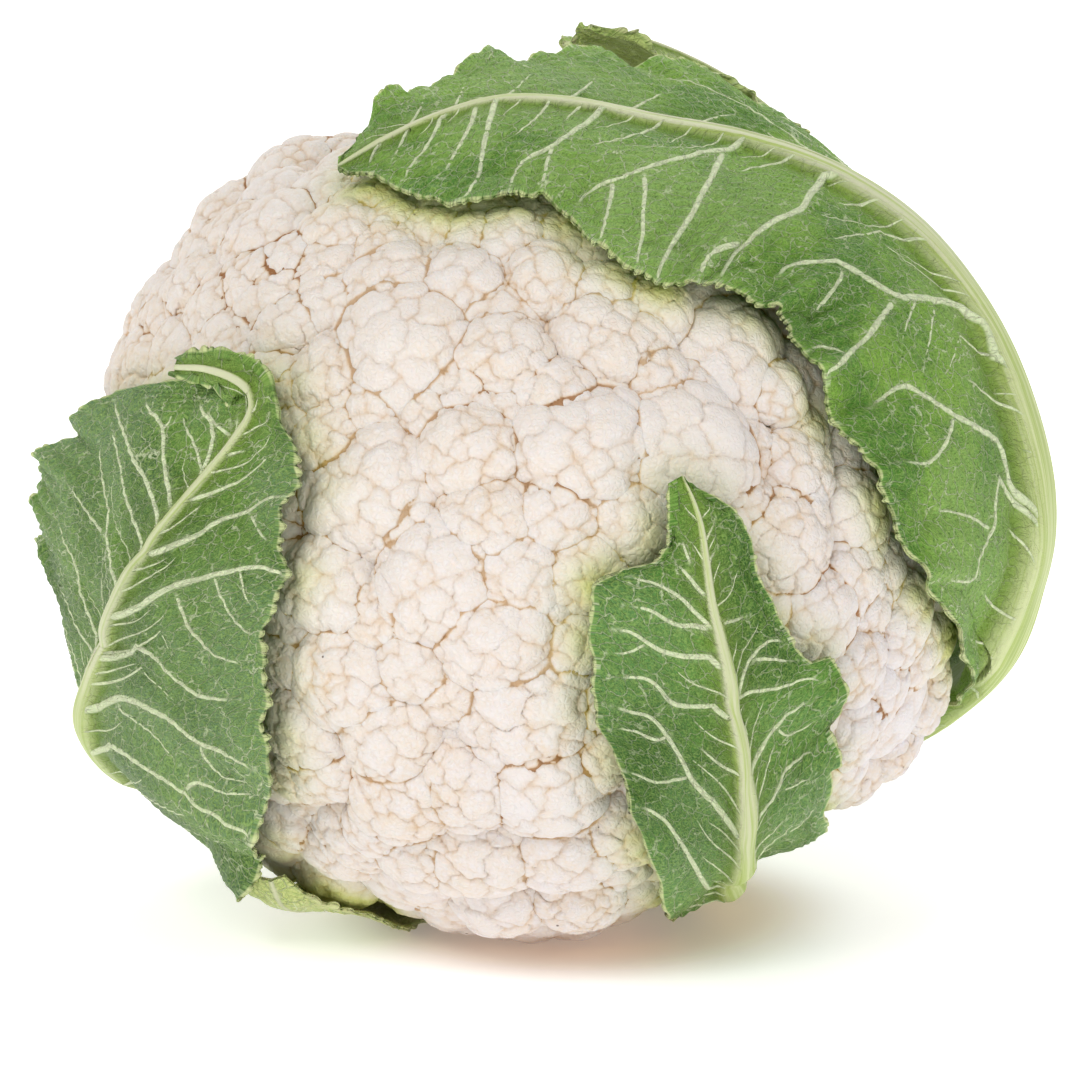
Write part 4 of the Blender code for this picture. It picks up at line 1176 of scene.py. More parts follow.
def leaf_sheet(name, rng):
    """A leaf's middle sheet in face millimetres, with what its finish and veins need."""
    rows, rib, wave, layer = LEAVES[name]
    _, lobes, ruffle, _ = LEAF_LOOKS[name]
    midrib, right, left = leaf_rows(rows, 0.5 * rib[0] + FOOT_SPREAD)
    places, along = steady_rows(midrib, LEAF_STEP)
    middle = curve_through(midrib, places)
    edges = {-1.0: curve_through(left, places), 1.0: curve_through(right, places)}
    spans = {sign: np.linalg.norm(edge - middle, axis=1) for sign, edge in edges.items()}
    columns = int(max(span.max() for span in spans.values()) / LEAF_STEP)
    shares = np.linspace(-1.0, 1.0, 2 * columns + 1)
    grid = np.zeros((len(along), len(shares), 3))
    across = np.zeros(grid.shape[:2])
    at_tip = smooth_step((along[-1] - along) / LOBES_END) * smooth_step(along / LOBES_GROWN_AFTER)
    for sign, edge in edges.items():
        places, steps = zip(*OUTLINE_STEPS.get((name, sign), ((0.0, 0.0), (1.0, 0.0))))
        stands = lobed(along, lobes, rng) * at_tip + np.interp(along / along[-1], places, steps)
        reach = stands / np.maximum(spans[sign], LEAST_SPAN)
        phase = rng.uniform(0.0, 6.0, 3)
        for index, share in enumerate(shares):
            if share * sign < 0.0 or (share == 0.0 and sign < 0.0):
                continue
            part = abs(share) + reach * smooth_step((abs(share) - LOBES_RAMP[0]) / LOBES_RAMP[1])
            line = blade_line(middle, edge, part, along, sign, wave)
            curl = smooth_step((abs(share) - RUFFLE_RAMP[0]) / RUFFLE_RAMP[1]) * at_tip * ruffle
            swing = LONG_RUFFLE[0] * np.sin(along / LONG_RUFFLE[1] + phase[0] + 2.0 * share)
            swing = swing + SHORT_RUFFLE[0] * np.sin(along / SHORT_RUFFLE[1] + phase[1])
            line = line + unit(line) * (curl * swing)[:, None]
            grid[:, index] = line
            across[:, index] = share * spans[sign]
    left_rib, right_rib, rise = rib_size(name, along / along[-1])
    left_rib = np.minimum(left_rib, RIB_SPAN_SHARE * spans[-1.0])
    right_rib = np.minimum(right_rib, RIB_SPAN_SHARE * spans[1.0])
    return {
        "name": name, "grid": grid, "along": along, "across": across, "shares": shares, "layer": layer,
        "length": along[-1], "rib_height": rib[1], "rib_rise": rise,
        "half_rib": np.where(shares < 0.0, left_rib[:, None], right_rib[:, None]),
    }


def settle_leaf(sheet, florets, sizes):
    """The leaf laid over the curd and kept above the floor."""
    grid = sheet["grid"]
    along = sheet["along"]
    directions = unit(grid)
    foot = FOOT_SHARE * sheet["rib_height"] * (1.0 - smooth_step(along / FOOT_LENGTH))
    half = 0.5 * (BLADE_THIN + foot)
    lowest = cover_radius(directions.reshape(-1, 3), florets, sizes).reshape(grid.shape[:2])
    lowest = smooth_grid(lowest, 5) + swell(directions) + LEAF_GAP + sheet["layer"] + half[:, None]
    radius = np.linalg.norm(grid, axis=2)
    laid = smooth_step((along - FREE_STALK) / LAID_AFTER)[:, None]
    radius = radius + np.maximum(lowest - radius, 0.0) * laid
    highest = floor_radius(directions) - half[:, None] - FLOOR_GAP
    sheet["grid"] = directions * np.minimum(radius, highest)[..., None]
    sheet["half"] = half


def smooth_grid(values, times):
    """A grid of values, evened out with its neighbours a number of times."""
    for _ in range(times):
        padded = np.pad(values, 1, mode="edge")
        values = 0.25 * (padded[:-2, 1:-1] + padded[2:, 1:-1] + padded[1:-1, :-2] + padded[1:-1, 2:])
    return values


def seen_tree(sheet):
    """The leaf's points that face the viewer, by where they are seen on the face."""
    grid = sheet["grid"]
    nearer = 1.0 - grid[..., 2] / SIGHT_DISTANCE
    seen = grid[..., :2] / nearer[..., None]
    facing = sheet["normals"][..., 2] > FACING
    rows, columns = np.nonzero(facing)
    flat = [(*seen[row, column], 0.0) for row, column in zip(rows, columns)]
    return tree_of(flat), rows, columns


def place_seen(sheet, line, tree, rows, columns):
    """The rows and columns of the leaf under a line drawn on the face."""
    line = np.array([(*place, 0.0) for place in line])
    count = max(int(np.linalg.norm(np.diff(line, axis=0), axis=1).sum() / VEIN_STEP), 4)
    spots = curve_through(line, np.linspace(0.0, len(line) - 1.0, count))
    depth = sheet["grid"][..., 2]
    placed = []
    for spot in spots:
        found = tree.find_range(spot, NEAR_LINE * COARSER) or [tree.find(spot)]
        heights = [depth[rows[index], columns[index]] - GAP_COUNTS * gap for _, index, gap in found]
        outmost = found[int(np.argmax(heights))][1]
        placed.append((rows[outmost], columns[outmost]))
    placed = np.array(placed, dtype=float)
    for _ in range(VEIN_SMOOTHED):
        placed[1:-1] = 0.25 * placed[:-2] + 0.5 * placed[1:-1] + 0.25 * placed[2:]
    return placed


def read_grid(grid, places):
    """A grid read between its points, at rows and columns that needn't be whole."""
    row = np.clip(places[:, 0], 0.0, grid.shape[0] - 1.001)
    column = np.clip(places[:, 1], 0.0, grid.shape[1] - 1.001)
    top = row.astype(int)
    left = column.astype(int)
    down = (row - top)[:, None]
    over = (column - left)[:, None]
    flat = grid if grid.ndim == 3 else grid[..., None]
    upper = flat[top, left] * (1.0 - over) + flat[top, left + 1] * over
    lower = flat[top + 1, left] * (1.0 - over) + flat[top + 1, left + 1] * over
    return upper * (1.0 - down) + lower * down


def grid_steps(sheet, places, directions):
    """Directions at places of the leaf, as steps of rows and columns a millimetre long."""
    down = read_grid(sheet["down"], places)
    over = read_grid(sheet["over"], places)
    long_way = np.sum(down * down, axis=1)
    cross_way = np.sum(over * over, axis=1)
    both = np.sum(down * over, axis=1)
    first = np.sum(down * directions, axis=1)
    second = np.sum(over * directions, axis=1)
    size = np.maximum(long_way * cross_way - both ** 2, 1e-9)
    rows = (first * cross_way - second * both) / size
    columns = (second * long_way - first * both) / size
    return np.stack((rows, columns), axis=1)


def ruled_vein(sheet, start, side, lean, reach):
    """A side vein by rule: from a place along the midrib out to near the edge, leaning to the tip."""
    middle = (sheet["grid"].shape[1] - 1) / 2.0
    step = sheet["length"] / (len(sheet["along"]) - 1)
    row = start / step
    span = abs(sheet["across"][min(int(row), len(sheet["along"]) - 1), -1 if side > 0 else 0])
    parts = np.linspace(0.0, 1.0, max(int(span / VEIN_STEP), VEIN_FEWEST))
    bend = VEIN_BEND[0] * span * np.sin(parts * VEIN_BEND[1] + start)
    rows = row + (lean * span * parts ** VEIN_CURVE + bend) / step
    columns = middle * (1.0 + side * reach * parts)
    keep = rows < len(sheet["along"]) - 2
    return np.stack((rows, columns), axis=1)[keep]


def one_side(sheet, placed):
    """A vein's path without what lies on the other side of the rib's middle line than its end."""
    across = read_grid(sheet["across"], placed)[:, 0]
    over = np.nonzero(across * across[-1] <= 0.0)[0]
    first = min(over[-1] + 1, len(placed) - 4) if len(over) else 0
    return placed[max(first, 0):]


def joined_to_rib(sheet, placed):
    """A vein's path, led back into the rib where it starts beside it."""
    middle = (sheet["grid"].shape[1] - 1) / 2.0
    across = read_grid(sheet["across"], placed[:1])[0, 0]
    half = read_grid(sheet["half_rib"], placed[:1])[0, 0]
    if not RIB_INSIDE * half < abs(across) < half + VEIN_JOINS:
        return placed
    step = sheet["length"] / (len(sheet["along"]) - 1)
    gap = abs(across) - RIB_INSIDE * half
    parts = np.linspace(1.0, 0.0, max(int(1.5 * gap / VEIN_STEP), 3), endpoint=False)
    rows = placed[0, 0] - JOIN_LEAN * gap * parts ** JOIN_CURVE / step
    columns = middle + (placed[0, 1] - middle) * (1.0 - parts * gap / abs(across))
    led = np.stack((np.maximum(rows, 1.0), columns), axis=1)
    return np.concatenate((led, placed))


def joined(sheet, placed, paths):
    """A vein's path, led back to the vein that it branches from, or else into the rib."""
    if len(paths):
        start = read_grid(sheet["grid"], placed[:1])[0]
        gaps = np.linalg.norm(read_grid(sheet["grid"], paths) - start, axis=1)
        nearest = int(np.argmin(gaps))
        if gaps[nearest] < VEIN_TOUCHES:
            return placed
        if gaps[nearest] < VEIN_BRANCHES:
            return np.concatenate((paths[nearest:nearest + 1], placed))
    return joined_to_rib(sheet, placed)


def ruled_veins(sheet, taken, spacing, width, clear, reach, rng):
    """Side veins by rule where none lies yet, and the places that are taken now."""
    veins = []
    start = VEINS_FROM
    while start < VEINS_UP_TO * sheet["length"]:
        for side in (-1.0, 1.0):
            begin = start + rng.uniform(*VEIN_STRAYS) * spacing
            placed = ruled_vein(sheet, begin, side, rng.uniform(*VEIN_LEANS), rng.uniform(*reach))
            if len(placed) < VEIN_FEWEST:
                continue
            spots = read_grid(sheet["grid"], placed)
            if len(taken):
                near = np.linalg.norm(spots[:, None] - taken, axis=2).min(axis=1)
                blocked = np.nonzero(near[VEIN_ROOT:] < clear)[0]
                free = int(blocked[0]) + VEIN_ROOT if len(blocked) else len(placed)
                if free < max(VEIN_SHORTEST, VEIN_LEAST_SHARE * len(placed)):
                    continue
                placed = placed[:free]
                spots = spots[:free]
            veins.append((width * (1.0 - 0.5 * begin / sheet["length"]), placed))
            taken = np.concatenate((taken, spots))
        start += spacing * rng.uniform(*VEIN_GAPS)
    return veins, taken


def leaf_veins(sheet, rng):
    """The leaf's veins as (width, rows and columns): those that show, then others where none does."""
    veins = []
    shown = LEAF_LOOKS[sheet["name"]][0]
    paths = np.zeros((0, 2))
    if shown:
        tree, rows, columns = seen_tree(sheet)
        for width, line in shown:
            placed = one_side(sheet, place_seen(sheet, line, tree, rows, columns))
            placed = joined(sheet, placed, paths)
            veins.append((width, placed))
            paths = np.concatenate((paths, placed))
    taken = read_grid(sheet["grid"], paths)
    main, taken = ruled_veins(sheet, taken, VEIN_APART, VEIN_WIDTH, VEIN_CLEAR, VEIN_REACHES, rng)
    minor, _ = ruled_veins(sheet, taken, MINOR_APART, MINOR_WIDTH, MINOR_CLEAR, MINOR_REACHES, rng)
    return veins + main + minor


def vein_distance(sheet, veins):
    """How far each point of the leaf is from its nearest vein, in millimetres, and that vein's width."""
    spots = []
    widths = []
    for width, placed in veins:
        line = read_grid(sheet["grid"], placed)
        spots.extend(line)
        widths.extend(np.linspace(width, VEIN_THINS * width, len(line)))
    tree = tree_of(spots)
    flat = sheet["grid"].reshape(-1, 3)
    far = np.full(len(flat), FAR_OFF)
    width = np.ones(len(flat))
    if spots:
        for index, point in enumerate(flat):
            _, found, gap = tree.find(point)
            far[index] = gap
            width[index] = widths[found]
    return far.reshape(sheet["grid"].shape[:2]), width.reshape(sheet["grid"].shape[:2])


def grid_faces(rows, columns, offset, flipped):
    """Two triangles for each square of a grid of points."""
    here = np.arange(rows * columns).reshape(rows, columns) + offset
    first = np.stack((here[:-1, :-1], here[1:, :-1], here[1:, 1:]), axis=-1).reshape(-1, 3)
    second = np.stack((here[:-1, :-1], here[1:, 1:], here[:-1, 1:]), axis=-1).reshape(-1, 3)
    faces = np.concatenate((first, second))
    return faces[:, ::-1] if flipped else faces


def rim_faces(rows, columns, offset):
    """The strip that closes a sheet's two sides along its border."""
    here = np.arange(rows * columns).reshape(rows, columns)
    border = np.concatenate((here[0], here[1:, -1], here[-1, -2::-1], here[-2:0:-1, 0]))
    after = np.roll(border, -1)
    first = np.stack((border, after, after + offset), axis=-1)
    second = np.stack((border, after + offset, border + offset), axis=-1)
    return np.concatenate((first, second))


def sheet_faces(rows, columns, flipped):
    """The triangles of a closed sheet: its two sides and the rim between them."""
    count = rows * columns
    return np.concatenate((
        grid_faces(rows, columns, 0, flipped),
        grid_faces(rows, columns, count, not flipped),
        rim_faces(rows, columns, count)[:, ::(1 if flipped else -1)],
    ))


def leaf_relief(sheet, far, width):
    """How far a leaf's outer and inner sides stand off its middle sheet, and the rib's share of a point."""
    across = np.abs(sheet["across"])
    half_rib = np.maximum(sheet["half_rib"], 0.3)
    inside = np.clip(1.0 - (across / half_rib) ** RIB_FLATNESS, 0.0, 1.0)
    rib = sheet["rib_rise"][:, None] * inside ** RIB_ROUNDING
    beyond = np.maximum(across - half_rib, 0.0)
    foot_reach = RIB_FOOT_SHARE * half_rib + RIB_FOOT_REACH
    foot = RIB_FOOT_HEIGHT * sheet["rib_rise"][:, None] * np.exp(-beyond / foot_reach)
    shoulder = SHOULDER_HEIGHT * width * np.exp(-((far / (SHOULDER_WIDTH * width)) ** 2))
    quilt = QUILTING * (np.exp(-far / QUILT_FADE) - QUILT_LEVEL) * smooth_step(beyond / 4.0)
    crumple = CRUMPLE * np.sin(across * 1.9 + 2.0 * np.sin(sheet["along"][:, None] * 0.7))
    quilt = -quilt + crumple * smooth_step(beyond / 5.0)
    edge = smooth_step((1.0 - np.abs(sheet["shares"])) / EDGE_SHARE)[None, :]
    thinnest = EDGE_THICKNESS / BLADE_THIN
    half = sheet["half"][:, None] * (thinnest + (1.0 - thinnest) * edge)
    blade = (1.0 - inside) * (0.3 + 0.7 * edge)
    outer = half + (rib + foot * (inside <= 0.0)) * edge + (shoulder + quilt) * blade
    inner = half - (quilt + 0.5 * shoulder) * blade + 0.12 * rib
    return outer, np.maximum(inner, -outer + 0.3), inside


def vein_strips(sheet, top, values, veins):
    """Raised veins as thin ridges that run out into the blade: points, faces and their values."""
    count = len(VEIN_ACROSS)
    points = []
    faces = []
    kept = {key: [] for key in values}
    total = 0
    for width, placed in veins:
        line = read_grid(sheet["grid"], placed)
        normal = unit(read_grid(sheet["normals"], placed))
        ahead = unit(np.gradient(line, axis=0))
        steps = grid_steps(sheet, placed, unit(np.cross(normal, ahead)))
        rows = len(placed)
        ends = np.minimum(np.arange(rows) / VEIN_RISES_IN, (rows - 1.0 - np.arange(rows)) / VEIN_ENDS_IN)
        ends = smooth_step(np.clip(ends, 0.0, 1.0))
        half = 0.5 * VEIN_SLIM * width * np.linspace(1.0, VEIN_END_WIDTH, rows)
        spots = placed[:, None] + steps[:, None] * (half[:, None] * VEIN_ACROSS)[..., None]
        spots = spots.reshape(-1, 2)
        over_rib = read_grid(values["rib"], spots)[:, 0]
        ends = ends[:, None]
        raised = 2.0 * VEIN_RISE * np.array(VEIN_HEIGHTS) * ends
        rise = half[:, None] * (raised - VEIN_END_SINK * (1.0 - ends))
        under = smooth_step((over_rib - VEIN_SINKS) / VEIN_SINKS_IN)
        rise = rise.ravel() - VEIN_RIB_SINK * half.repeat(count) * under
        base = read_grid(top, spots)
        points.append(base + unit(read_grid(sheet["normals"], spots)) * rise[:, None])
        for key, value in values.items():
            read = read_grid(value, spots)
            kept[key].append(read if value.ndim == 3 else read[:, 0])
        pale = (np.array(VEIN_PALENESS) * ends).ravel()
        kept["vein"][-1] = pale
        kept["rib"][-1] = over_rib * (1.0 - VEIN_OVER_RIB * pale)
        faces.append(grid_faces(rows, count, total, False))
        total += rows * count
    points = np.concatenate(points)
    faces = np.concatenate(faces)
    return points, faces, {key: np.concatenate(value) for key, value in kept.items()}


def tooth_lengths(along, length, rng):
    """How far each place along an edge stands out: uneven teeth with notches between them."""
    out = np.zeros(len(along))
    start = 0.0
    while start < along[-1]:
        spacing = rng.uniform(*TOOTH_SPACINGS)
        part = (along - start) / spacing
        inside = (part >= 0.0) & (part < 1.0)
        tall = length * rng.uniform(*TOOTH_HEIGHTS)
        out[inside] = tall * np.sin(math.pi * part[inside] ** rng.uniform(*TOOTH_LEANS)) ** TOOTH_ROUNDING
        start += spacing
    return out


def tooth_strip(sheet, top, bottom, values, side, rng):
    """The toothed rim of a leaf along one side: points, faces and values."""
    rows = top.shape[0]
    column = top.shape[1] - 1 if side > 0 else 0
    inward = -1.0 if side > 0 else 1.0
    count = int(rows * LEAF_STEP / EDGE_STEP)
    row = np.linspace(0.0, rows - 1.0, count)
    column_at = np.full(count, float(column))
    length = LEAF_LOOKS[sheet["name"]][3]
    along = row * sheet["length"] / (rows - 1.0)
    fade = smooth_step((along - TEETH_FROM) / TEETH_GROWN_AFTER)
    fade = fade * smooth_step((sheet["length"] - along) / TEETH_END)
    tooth = EDGE_STANDS + tooth_lengths(along, length, rng) * fade
    middle = 0.5 * (top + bottom)
    edge = read_grid(middle, np.stack((row, column_at), axis=1))
    within = read_grid(middle, np.stack((row, column_at + 2.0 * inward), axis=1))
    outward = unit(edge - within)
    normal = unit(read_grid(sheet["normals"], np.stack((row, column_at + inward), axis=1)))
    curl = 0.5 * np.sin(along * TOOTH_CURLS[0] + rng.uniform(0.0, 6.0))
    curl = curl + 0.4 * np.sin(along * TOOTH_CURLS[1])
    upper = []
    lower = []
    pale = []
    for place, half in TOOTH_ROWS:
        reach = place * tooth if place > 0.0 else np.full(count, place)
        line = edge + outward * reach[:, None] + normal * (curl * np.maximum(reach, 0.0) * 0.5)[:, None]
        thick = half * (1.0 + 0.3 * (tooth / length) * (place > 0.5))
        upper.append(line + normal * np.broadcast_to(thick, count)[:, None])
        lower.append(line - normal * np.broadcast_to(thick, count)[:, None])
        pale.append(np.clip(0.2 + 0.9 * (place > 0.3) * tooth / length, 0.0, 1.0) * (place > -0.5))
    upper = np.stack(upper, axis=1)
    lower = np.stack(lower, axis=1)
    across = len(TOOTH_ROWS)
    flipped = facing_of(upper, np.broadcast_to(normal[:, None], upper.shape))
    faces = sheet_faces(count, across, flipped)
    spots = np.stack((np.repeat(row, across), np.tile(np.full(across, float(column)), count)), axis=1)
    read = {}
    for key, value in values.items():
        one = read_grid(value, spots)
        one = one if value.ndim == 3 else one[:, 0]
        read[key] = np.concatenate((one, one))
    read["margin"] = np.tile(np.stack(pale, axis=1).ravel(), 2)
    points = np.concatenate((upper.reshape(-1, 3), lower.reshape(-1, 3)))
    return points, faces, read


def leaf_piece(name, node, points, faces, values, finish, slot, place=None):
    """A piece of a leaf from face millimetres, with the leaf's own map and, if given, one for baking."""
    maps = {"leaf_map": values.pop("flat")}
    if place is not None:
        maps["OFBake"] = place
    piece = mesh_object(name, points, faces, values, finish, maps)
    place_piece(piece, node)


def build_leaf(name, sheet, finish, slot):
    """A leaf: its two-sided blade with the rib, its raised veins and its toothed rims."""
    rng = np.random.default_rng(len(name) * 7 + LOOK_SEED)
    veins = leaf_veins(sheet, rng)
    far, width = vein_distance(sheet, veins)
    outer, inner, inside = leaf_relief(sheet, far, width)
    grid = sheet["grid"]
    normals = sheet["normals"]
    top = grid + normals * outer[..., None]
    bottom = grid - normals * inner[..., None]
    rows, columns = grid.shape[:2]
    flipped = facing_of(top, normals)
    faces = sheet_faces(rows, columns, flipped)
    along = np.repeat(sheet["along"][:, None], columns, axis=1)
    across = np.abs(sheet["across"])
    edge_gap = (1.0 - np.abs(sheet["shares"]))[None, :] * across[:, (0, -1)].max(axis=1)[:, None]
    values = {
        "rib": inside,
        # The deeper green beside the rib is partly painted shade
        "beside_rib": np.exp(-np.maximum(across - sheet["half_rib"], 0.0) / BESIDE_FADE),
        "vein": VEIN_TINT[0] * np.exp(-far / (VEIN_TINT[1] * width)),
        "margin": MARGIN_TINT[0] * np.exp(-edge_gap / MARGIN_TINT[1]),
        "along": along / sheet["length"],
        "outside": np.ones((rows, columns)),
        "flat": np.stack((sheet["across"], along), axis=-1) * FLAT_SCALE,
    }
    both = {}
    for key, value in values.items():
        value = value.reshape(rows * columns, -1) if value.ndim == 3 else value.ravel()
        both[key] = np.concatenate((value, value))
    both["outside"] = np.repeat((1.0, 0.0), rows * columns)
    places = np.meshgrid(np.linspace(0.0, HALF_MAP, columns), np.linspace(0.0, 1.0, rows))
    place = np.stack(places, axis=-1).reshape(-1, 2)
    place = np.concatenate((place, place + (OTHER_HALF, 0.0)))
    points = np.concatenate((top.reshape(-1, 3), bottom.reshape(-1, 3)))
    leaf_piece(name + "_blade", name, points, faces, both, finish, slot, place)
    leaf_piece(name + "_veins", name, *vein_strips(sheet, top, values, veins), finish, slot)
    for side, label in ((-1.0, "_rim_a"), (1.0, "_rim_b")):
        leaf_piece(name + label, name, *tooth_strip(sheet, top, bottom, values, side, rng), finish, slot)


def facing_of(top, normals):
    """True where the plain order of a grid's triangles would face inwards."""
    row = top.shape[0] // 2
    column = top.shape[1] // 2
    first = top[row + 1, column] - top[row, column]
    second = top[row + 1, column + 1] - top[row, column]
    return float(np.dot(np.cross(first, second), normals[row, column])) < 0.0


def stalk_place(level, angle, reach):
    """Points of the stalk, by their level below the curd's middle and their angle and reach."""
    spoke = np.cos(angle)[:, None] * SIDE + np.sin(angle)[:, None] * OVER
    return -AXIS * level[:, None] + spoke * reach[:, None]


def stalk_outline(level, angle):
    """The stalk's radius, with the stubs of trimmed leaves round its end."""
    reach = STALK_RADIUS * (1.0 + STALK_SWELL * np.cos(STALK_LOBES * angle))
    for height, count, twist in STALK_RIBS:
        reach = reach + height * np.sin(count * angle + twist * level)
    grown = smooth_step((level - STUB_START) / (STUB_FULL - STUB_START))
    for place, height, cut in STUBS:
        away = np.remainder(angle - math.radians(place) + math.pi, 2.0 * math.pi) - math.pi
        ended = smooth_step((cut + STUB_CUT[0] - level) / STUB_CUT[1])
        reach = reach + height * grown * ended * np.exp(-((away / STUB_HALF_ANGLE) ** 4))
    return reach - END_ROUNDING * smooth_step(level - STALK_END + END_ROUNDING)


def cut_level(share, angle, within):
    """The level of the stalk's cut face: a little crowned and rough, and sunk over the pith."""
    rough = CUT_SCORES[0] * np.sin(within * np.cos(angle - CUT_TURN) * CUT_SCORES[1])
    rough = rough + CUT_MARKS[0] * np.cos(within * np.sin(angle) * CUT_MARKS[1])
    dip = PITH_DIP * smooth_step((PITH_SHARE - share) / PITH_BLEND)
    return STALK_END + CUT_CROWN * (1.0 - share) + rough * (1.0 - share ** 6) - dip


def build_stalk(finish):
    """The stalk: its ribbed side, the stubs' ends and its rough cut face."""
    turns = STALK_TURNS
    plain = np.linspace(STALK_START, STUB_START, STALK_ROWS[0])[:-1]
    side_levels = np.concatenate((plain, np.linspace(STUB_START, STALK_END, STALK_ROWS[1])))
    around = np.arange(turns) * 2.0 * math.pi / turns
    level, angle = (grid.ravel() for grid in np.meshgrid(side_levels, around, indexing="ij"))
    sides = stalk_place(level, angle, stalk_outline(level, angle))
    shares = np.linspace(1.0, INNERMOST, STALK_ROWS[2])[1:]
    share, angle_in = (grid.ravel() for grid in np.meshgrid(shares, around, indexing="ij"))
    within = share * stalk_outline(np.full(len(angle_in), STALK_END), angle_in)
    ends = stalk_place(cut_level(share, angle_in, within), angle_in, within)
    top_face = stalk_place(np.full(turns, STALK_START), around, np.full(turns, INNERMOST))
    points = np.concatenate((top_face, sides, ends))
    rows = len(points) // turns
    here = np.arange(rows * turns).reshape(rows, turns)
    there = np.roll(here, -1, axis=1)
    faces = np.concatenate((
        np.stack((here[:-1], there[:-1], there[1:]), axis=-1).reshape(-1, 3),
        np.stack((here[:-1], there[1:], here[1:]), axis=-1).reshape(-1, 3),
        np.stack((np.full(turns - 2, here[-1, 0]), here[-1, 1:-1], here[-1, 2:]), axis=-1),
        np.stack((np.full(turns - 2, here[0, 0]), here[0, 2:], here[0, 1:-1]), axis=-1),
    ))
    first = faces[len(faces) // 3]
    outward = np.cross(points[first[1]] - points[first[0]], points[first[2]] - points[first[0]])
    if np.dot(outward, points[first[0]] + AXIS * (points[first[0]] @ -AXIS)) < 0.0:
        faces = faces[:, ::-1]
    values = {
        "cut": np.concatenate((np.zeros(turns), np.zeros(len(sides)), np.ones(len(ends)))),
        "share": np.concatenate((np.zeros(turns), np.ones(len(sides)), share)),
    }
    row = np.repeat(np.arange(rows), turns) / (rows - 1.0)
    place = np.stack((np.tile(np.arange(turns) / turns, rows), row), axis=1)
    piece = mesh_object("stalk_bar", points, faces, values, finish, {"OFBake": place})
    place_piece(piece, "stalk")


# The mix node's two inputs and its output by number, because its sockets' names repeat
MIX_SOCKETS = {"RGBA": (6, 7, 2), "VECTOR": (4, 5, 1)}


class Finish:
    """A material's node tree, with short calls for the nodes it is made of."""

    def __init__(self, name):
        """A new material with its plain shader."""
        self.material = bpy.data.materials.new(name)
        self.material.use_nodes = True
        self.tree = self.material.node_tree
        self.shader = self.tree.nodes["Principled BSDF"]

    def add(self, kind, *links, **settings):
        """A node with its settings, and what its inputs read: a socket or a value for each."""
        node = self.tree.nodes.new(kind)
        for key, value in settings.items():
            setattr(node, key, value)
        for name, source in links:
            self.set(node.inputs[name], source)
        return node

    def set(self, socket, source):
        """A socket's source, as a link or as a value."""
        if isinstance(source, bpy.types.NodeSocket):
            self.tree.links.new(source, socket)
        elif isinstance(source, tuple) and len(source) == 3 and socket.type == "RGBA":
            socket.default_value = (*source, 1.0)
        else:
            socket.default_value = source

    def value(self, label):
        """A value stored at the mesh's points."""
        return self.add("ShaderNodeAttribute", attribute_name=label).outputs["Fac"]

    def noise(self, where, scale, detail=3.0, roughness=0.5):
        """A soft noise from 0 to 1."""
        node = self.add(
            "ShaderNodeTexNoise", ("Vector", where), ("Scale", scale), ("Detail", detail),
            ("Roughness", roughness),
        )
        return node.outputs["Fac"]

    def cells(self, where, scale, feature="DISTANCE_TO_EDGE"):
        """The distance to the edges of cells."""
        node = self.add("ShaderNodeTexVoronoi", ("Vector", where), ("Scale", scale), feature=feature)
        return node.outputs["Distance"]

    def math(self, operation, first, second, clamp=False):
        """One sum on two values."""
        node = self.add("ShaderNodeMath", operation=operation, use_clamp=clamp)
        self.set(node.inputs[0], first)
        self.set(node.inputs[1], second)
        return node.outputs[0]

    def times(self, first, *others):
        """The product of values."""
        for other in others:
            first = self.math("MULTIPLY", first, other)
        return first

    def plus(self, first, *others):
        """The sum of values."""
        for other in others:
            first = self.math("ADD", first, other)
        return first

    def band(self, source, low, high, to_low=0.0, to_high=1.0):
        """A value taken smoothly from one range to another."""
        node = self.add(
            "ShaderNodeMapRange", ("Value", source), ("From Min", low), ("From Max", high),
            ("To Min", to_low), ("To Max", to_high), interpolation_type="SMOOTHSTEP",
        )
        return node.outputs["Result"]

    def mix(self, share, first, second, kind="RGBA"):
        """Two colours, or two places, mixed by a share."""
        one, other, mixed = MIX_SOCKETS[kind]
        node = self.add("ShaderNodeMix", data_type=kind)
        self.set(node.inputs["Factor"], share)
        self.set(node.inputs[one], first)
        self.set(node.inputs[other], second)
        return node.outputs[mixed]

    def tinted(self, colour, *tints):
        """A colour with others laid over it, each by its share."""
        for share, tint in tints:
            colour = self.mix(share, colour, tint)
        return colour

    def stretched(self, where, scale, shift=(0.0, 0.0, 0.0)):
        """Places stretched along their axes and then shifted."""
        node = self.add("ShaderNodeMapping", ("Vector", where), ("Scale", scale), ("Location", shift))
        return node.outputs["Vector"]

    def bump(self, height, distance, strength):
        """A fine relief of the surface: its height, how tall that is in metres, and its strength."""
        links = (("Height", height), ("Distance", distance), ("Strength", strength))
        node = self.add("ShaderNodeBump", *links)
        return node.outputs["Normal"]

    def constants(self, **settings):
        """Plain values on the shader's own sockets, with _ for a space in their names."""
        for name, value in settings.items():
            self.shader.inputs[name.replace("_", " ")].default_value = value


# The two creams are lit and shaded copies of the curd's colour: painted shade
LIT_CREAM = (0.810, 0.765, 0.735)
SHADED_CREAM = (0.785, 0.745, 0.770)
OLD_CREAM = (0.820, 0.730, 0.600)
TAN = (0.600, 0.345, 0.110)
PALE_TAN = (0.780, 0.600, 0.400)
# The darkest brown is painted shade in the deepest crevices
CREVICE_SHADE_BROWN = (0.300, 0.120, 0.030)
# The yellow-green is partly painted light thrown by the leaves and partly the curd's own green
LEAF_LIGHT_AND_GREEN = (0.560, 0.630, 0.030)
SPECK = (0.090, 0.045, 0.020)


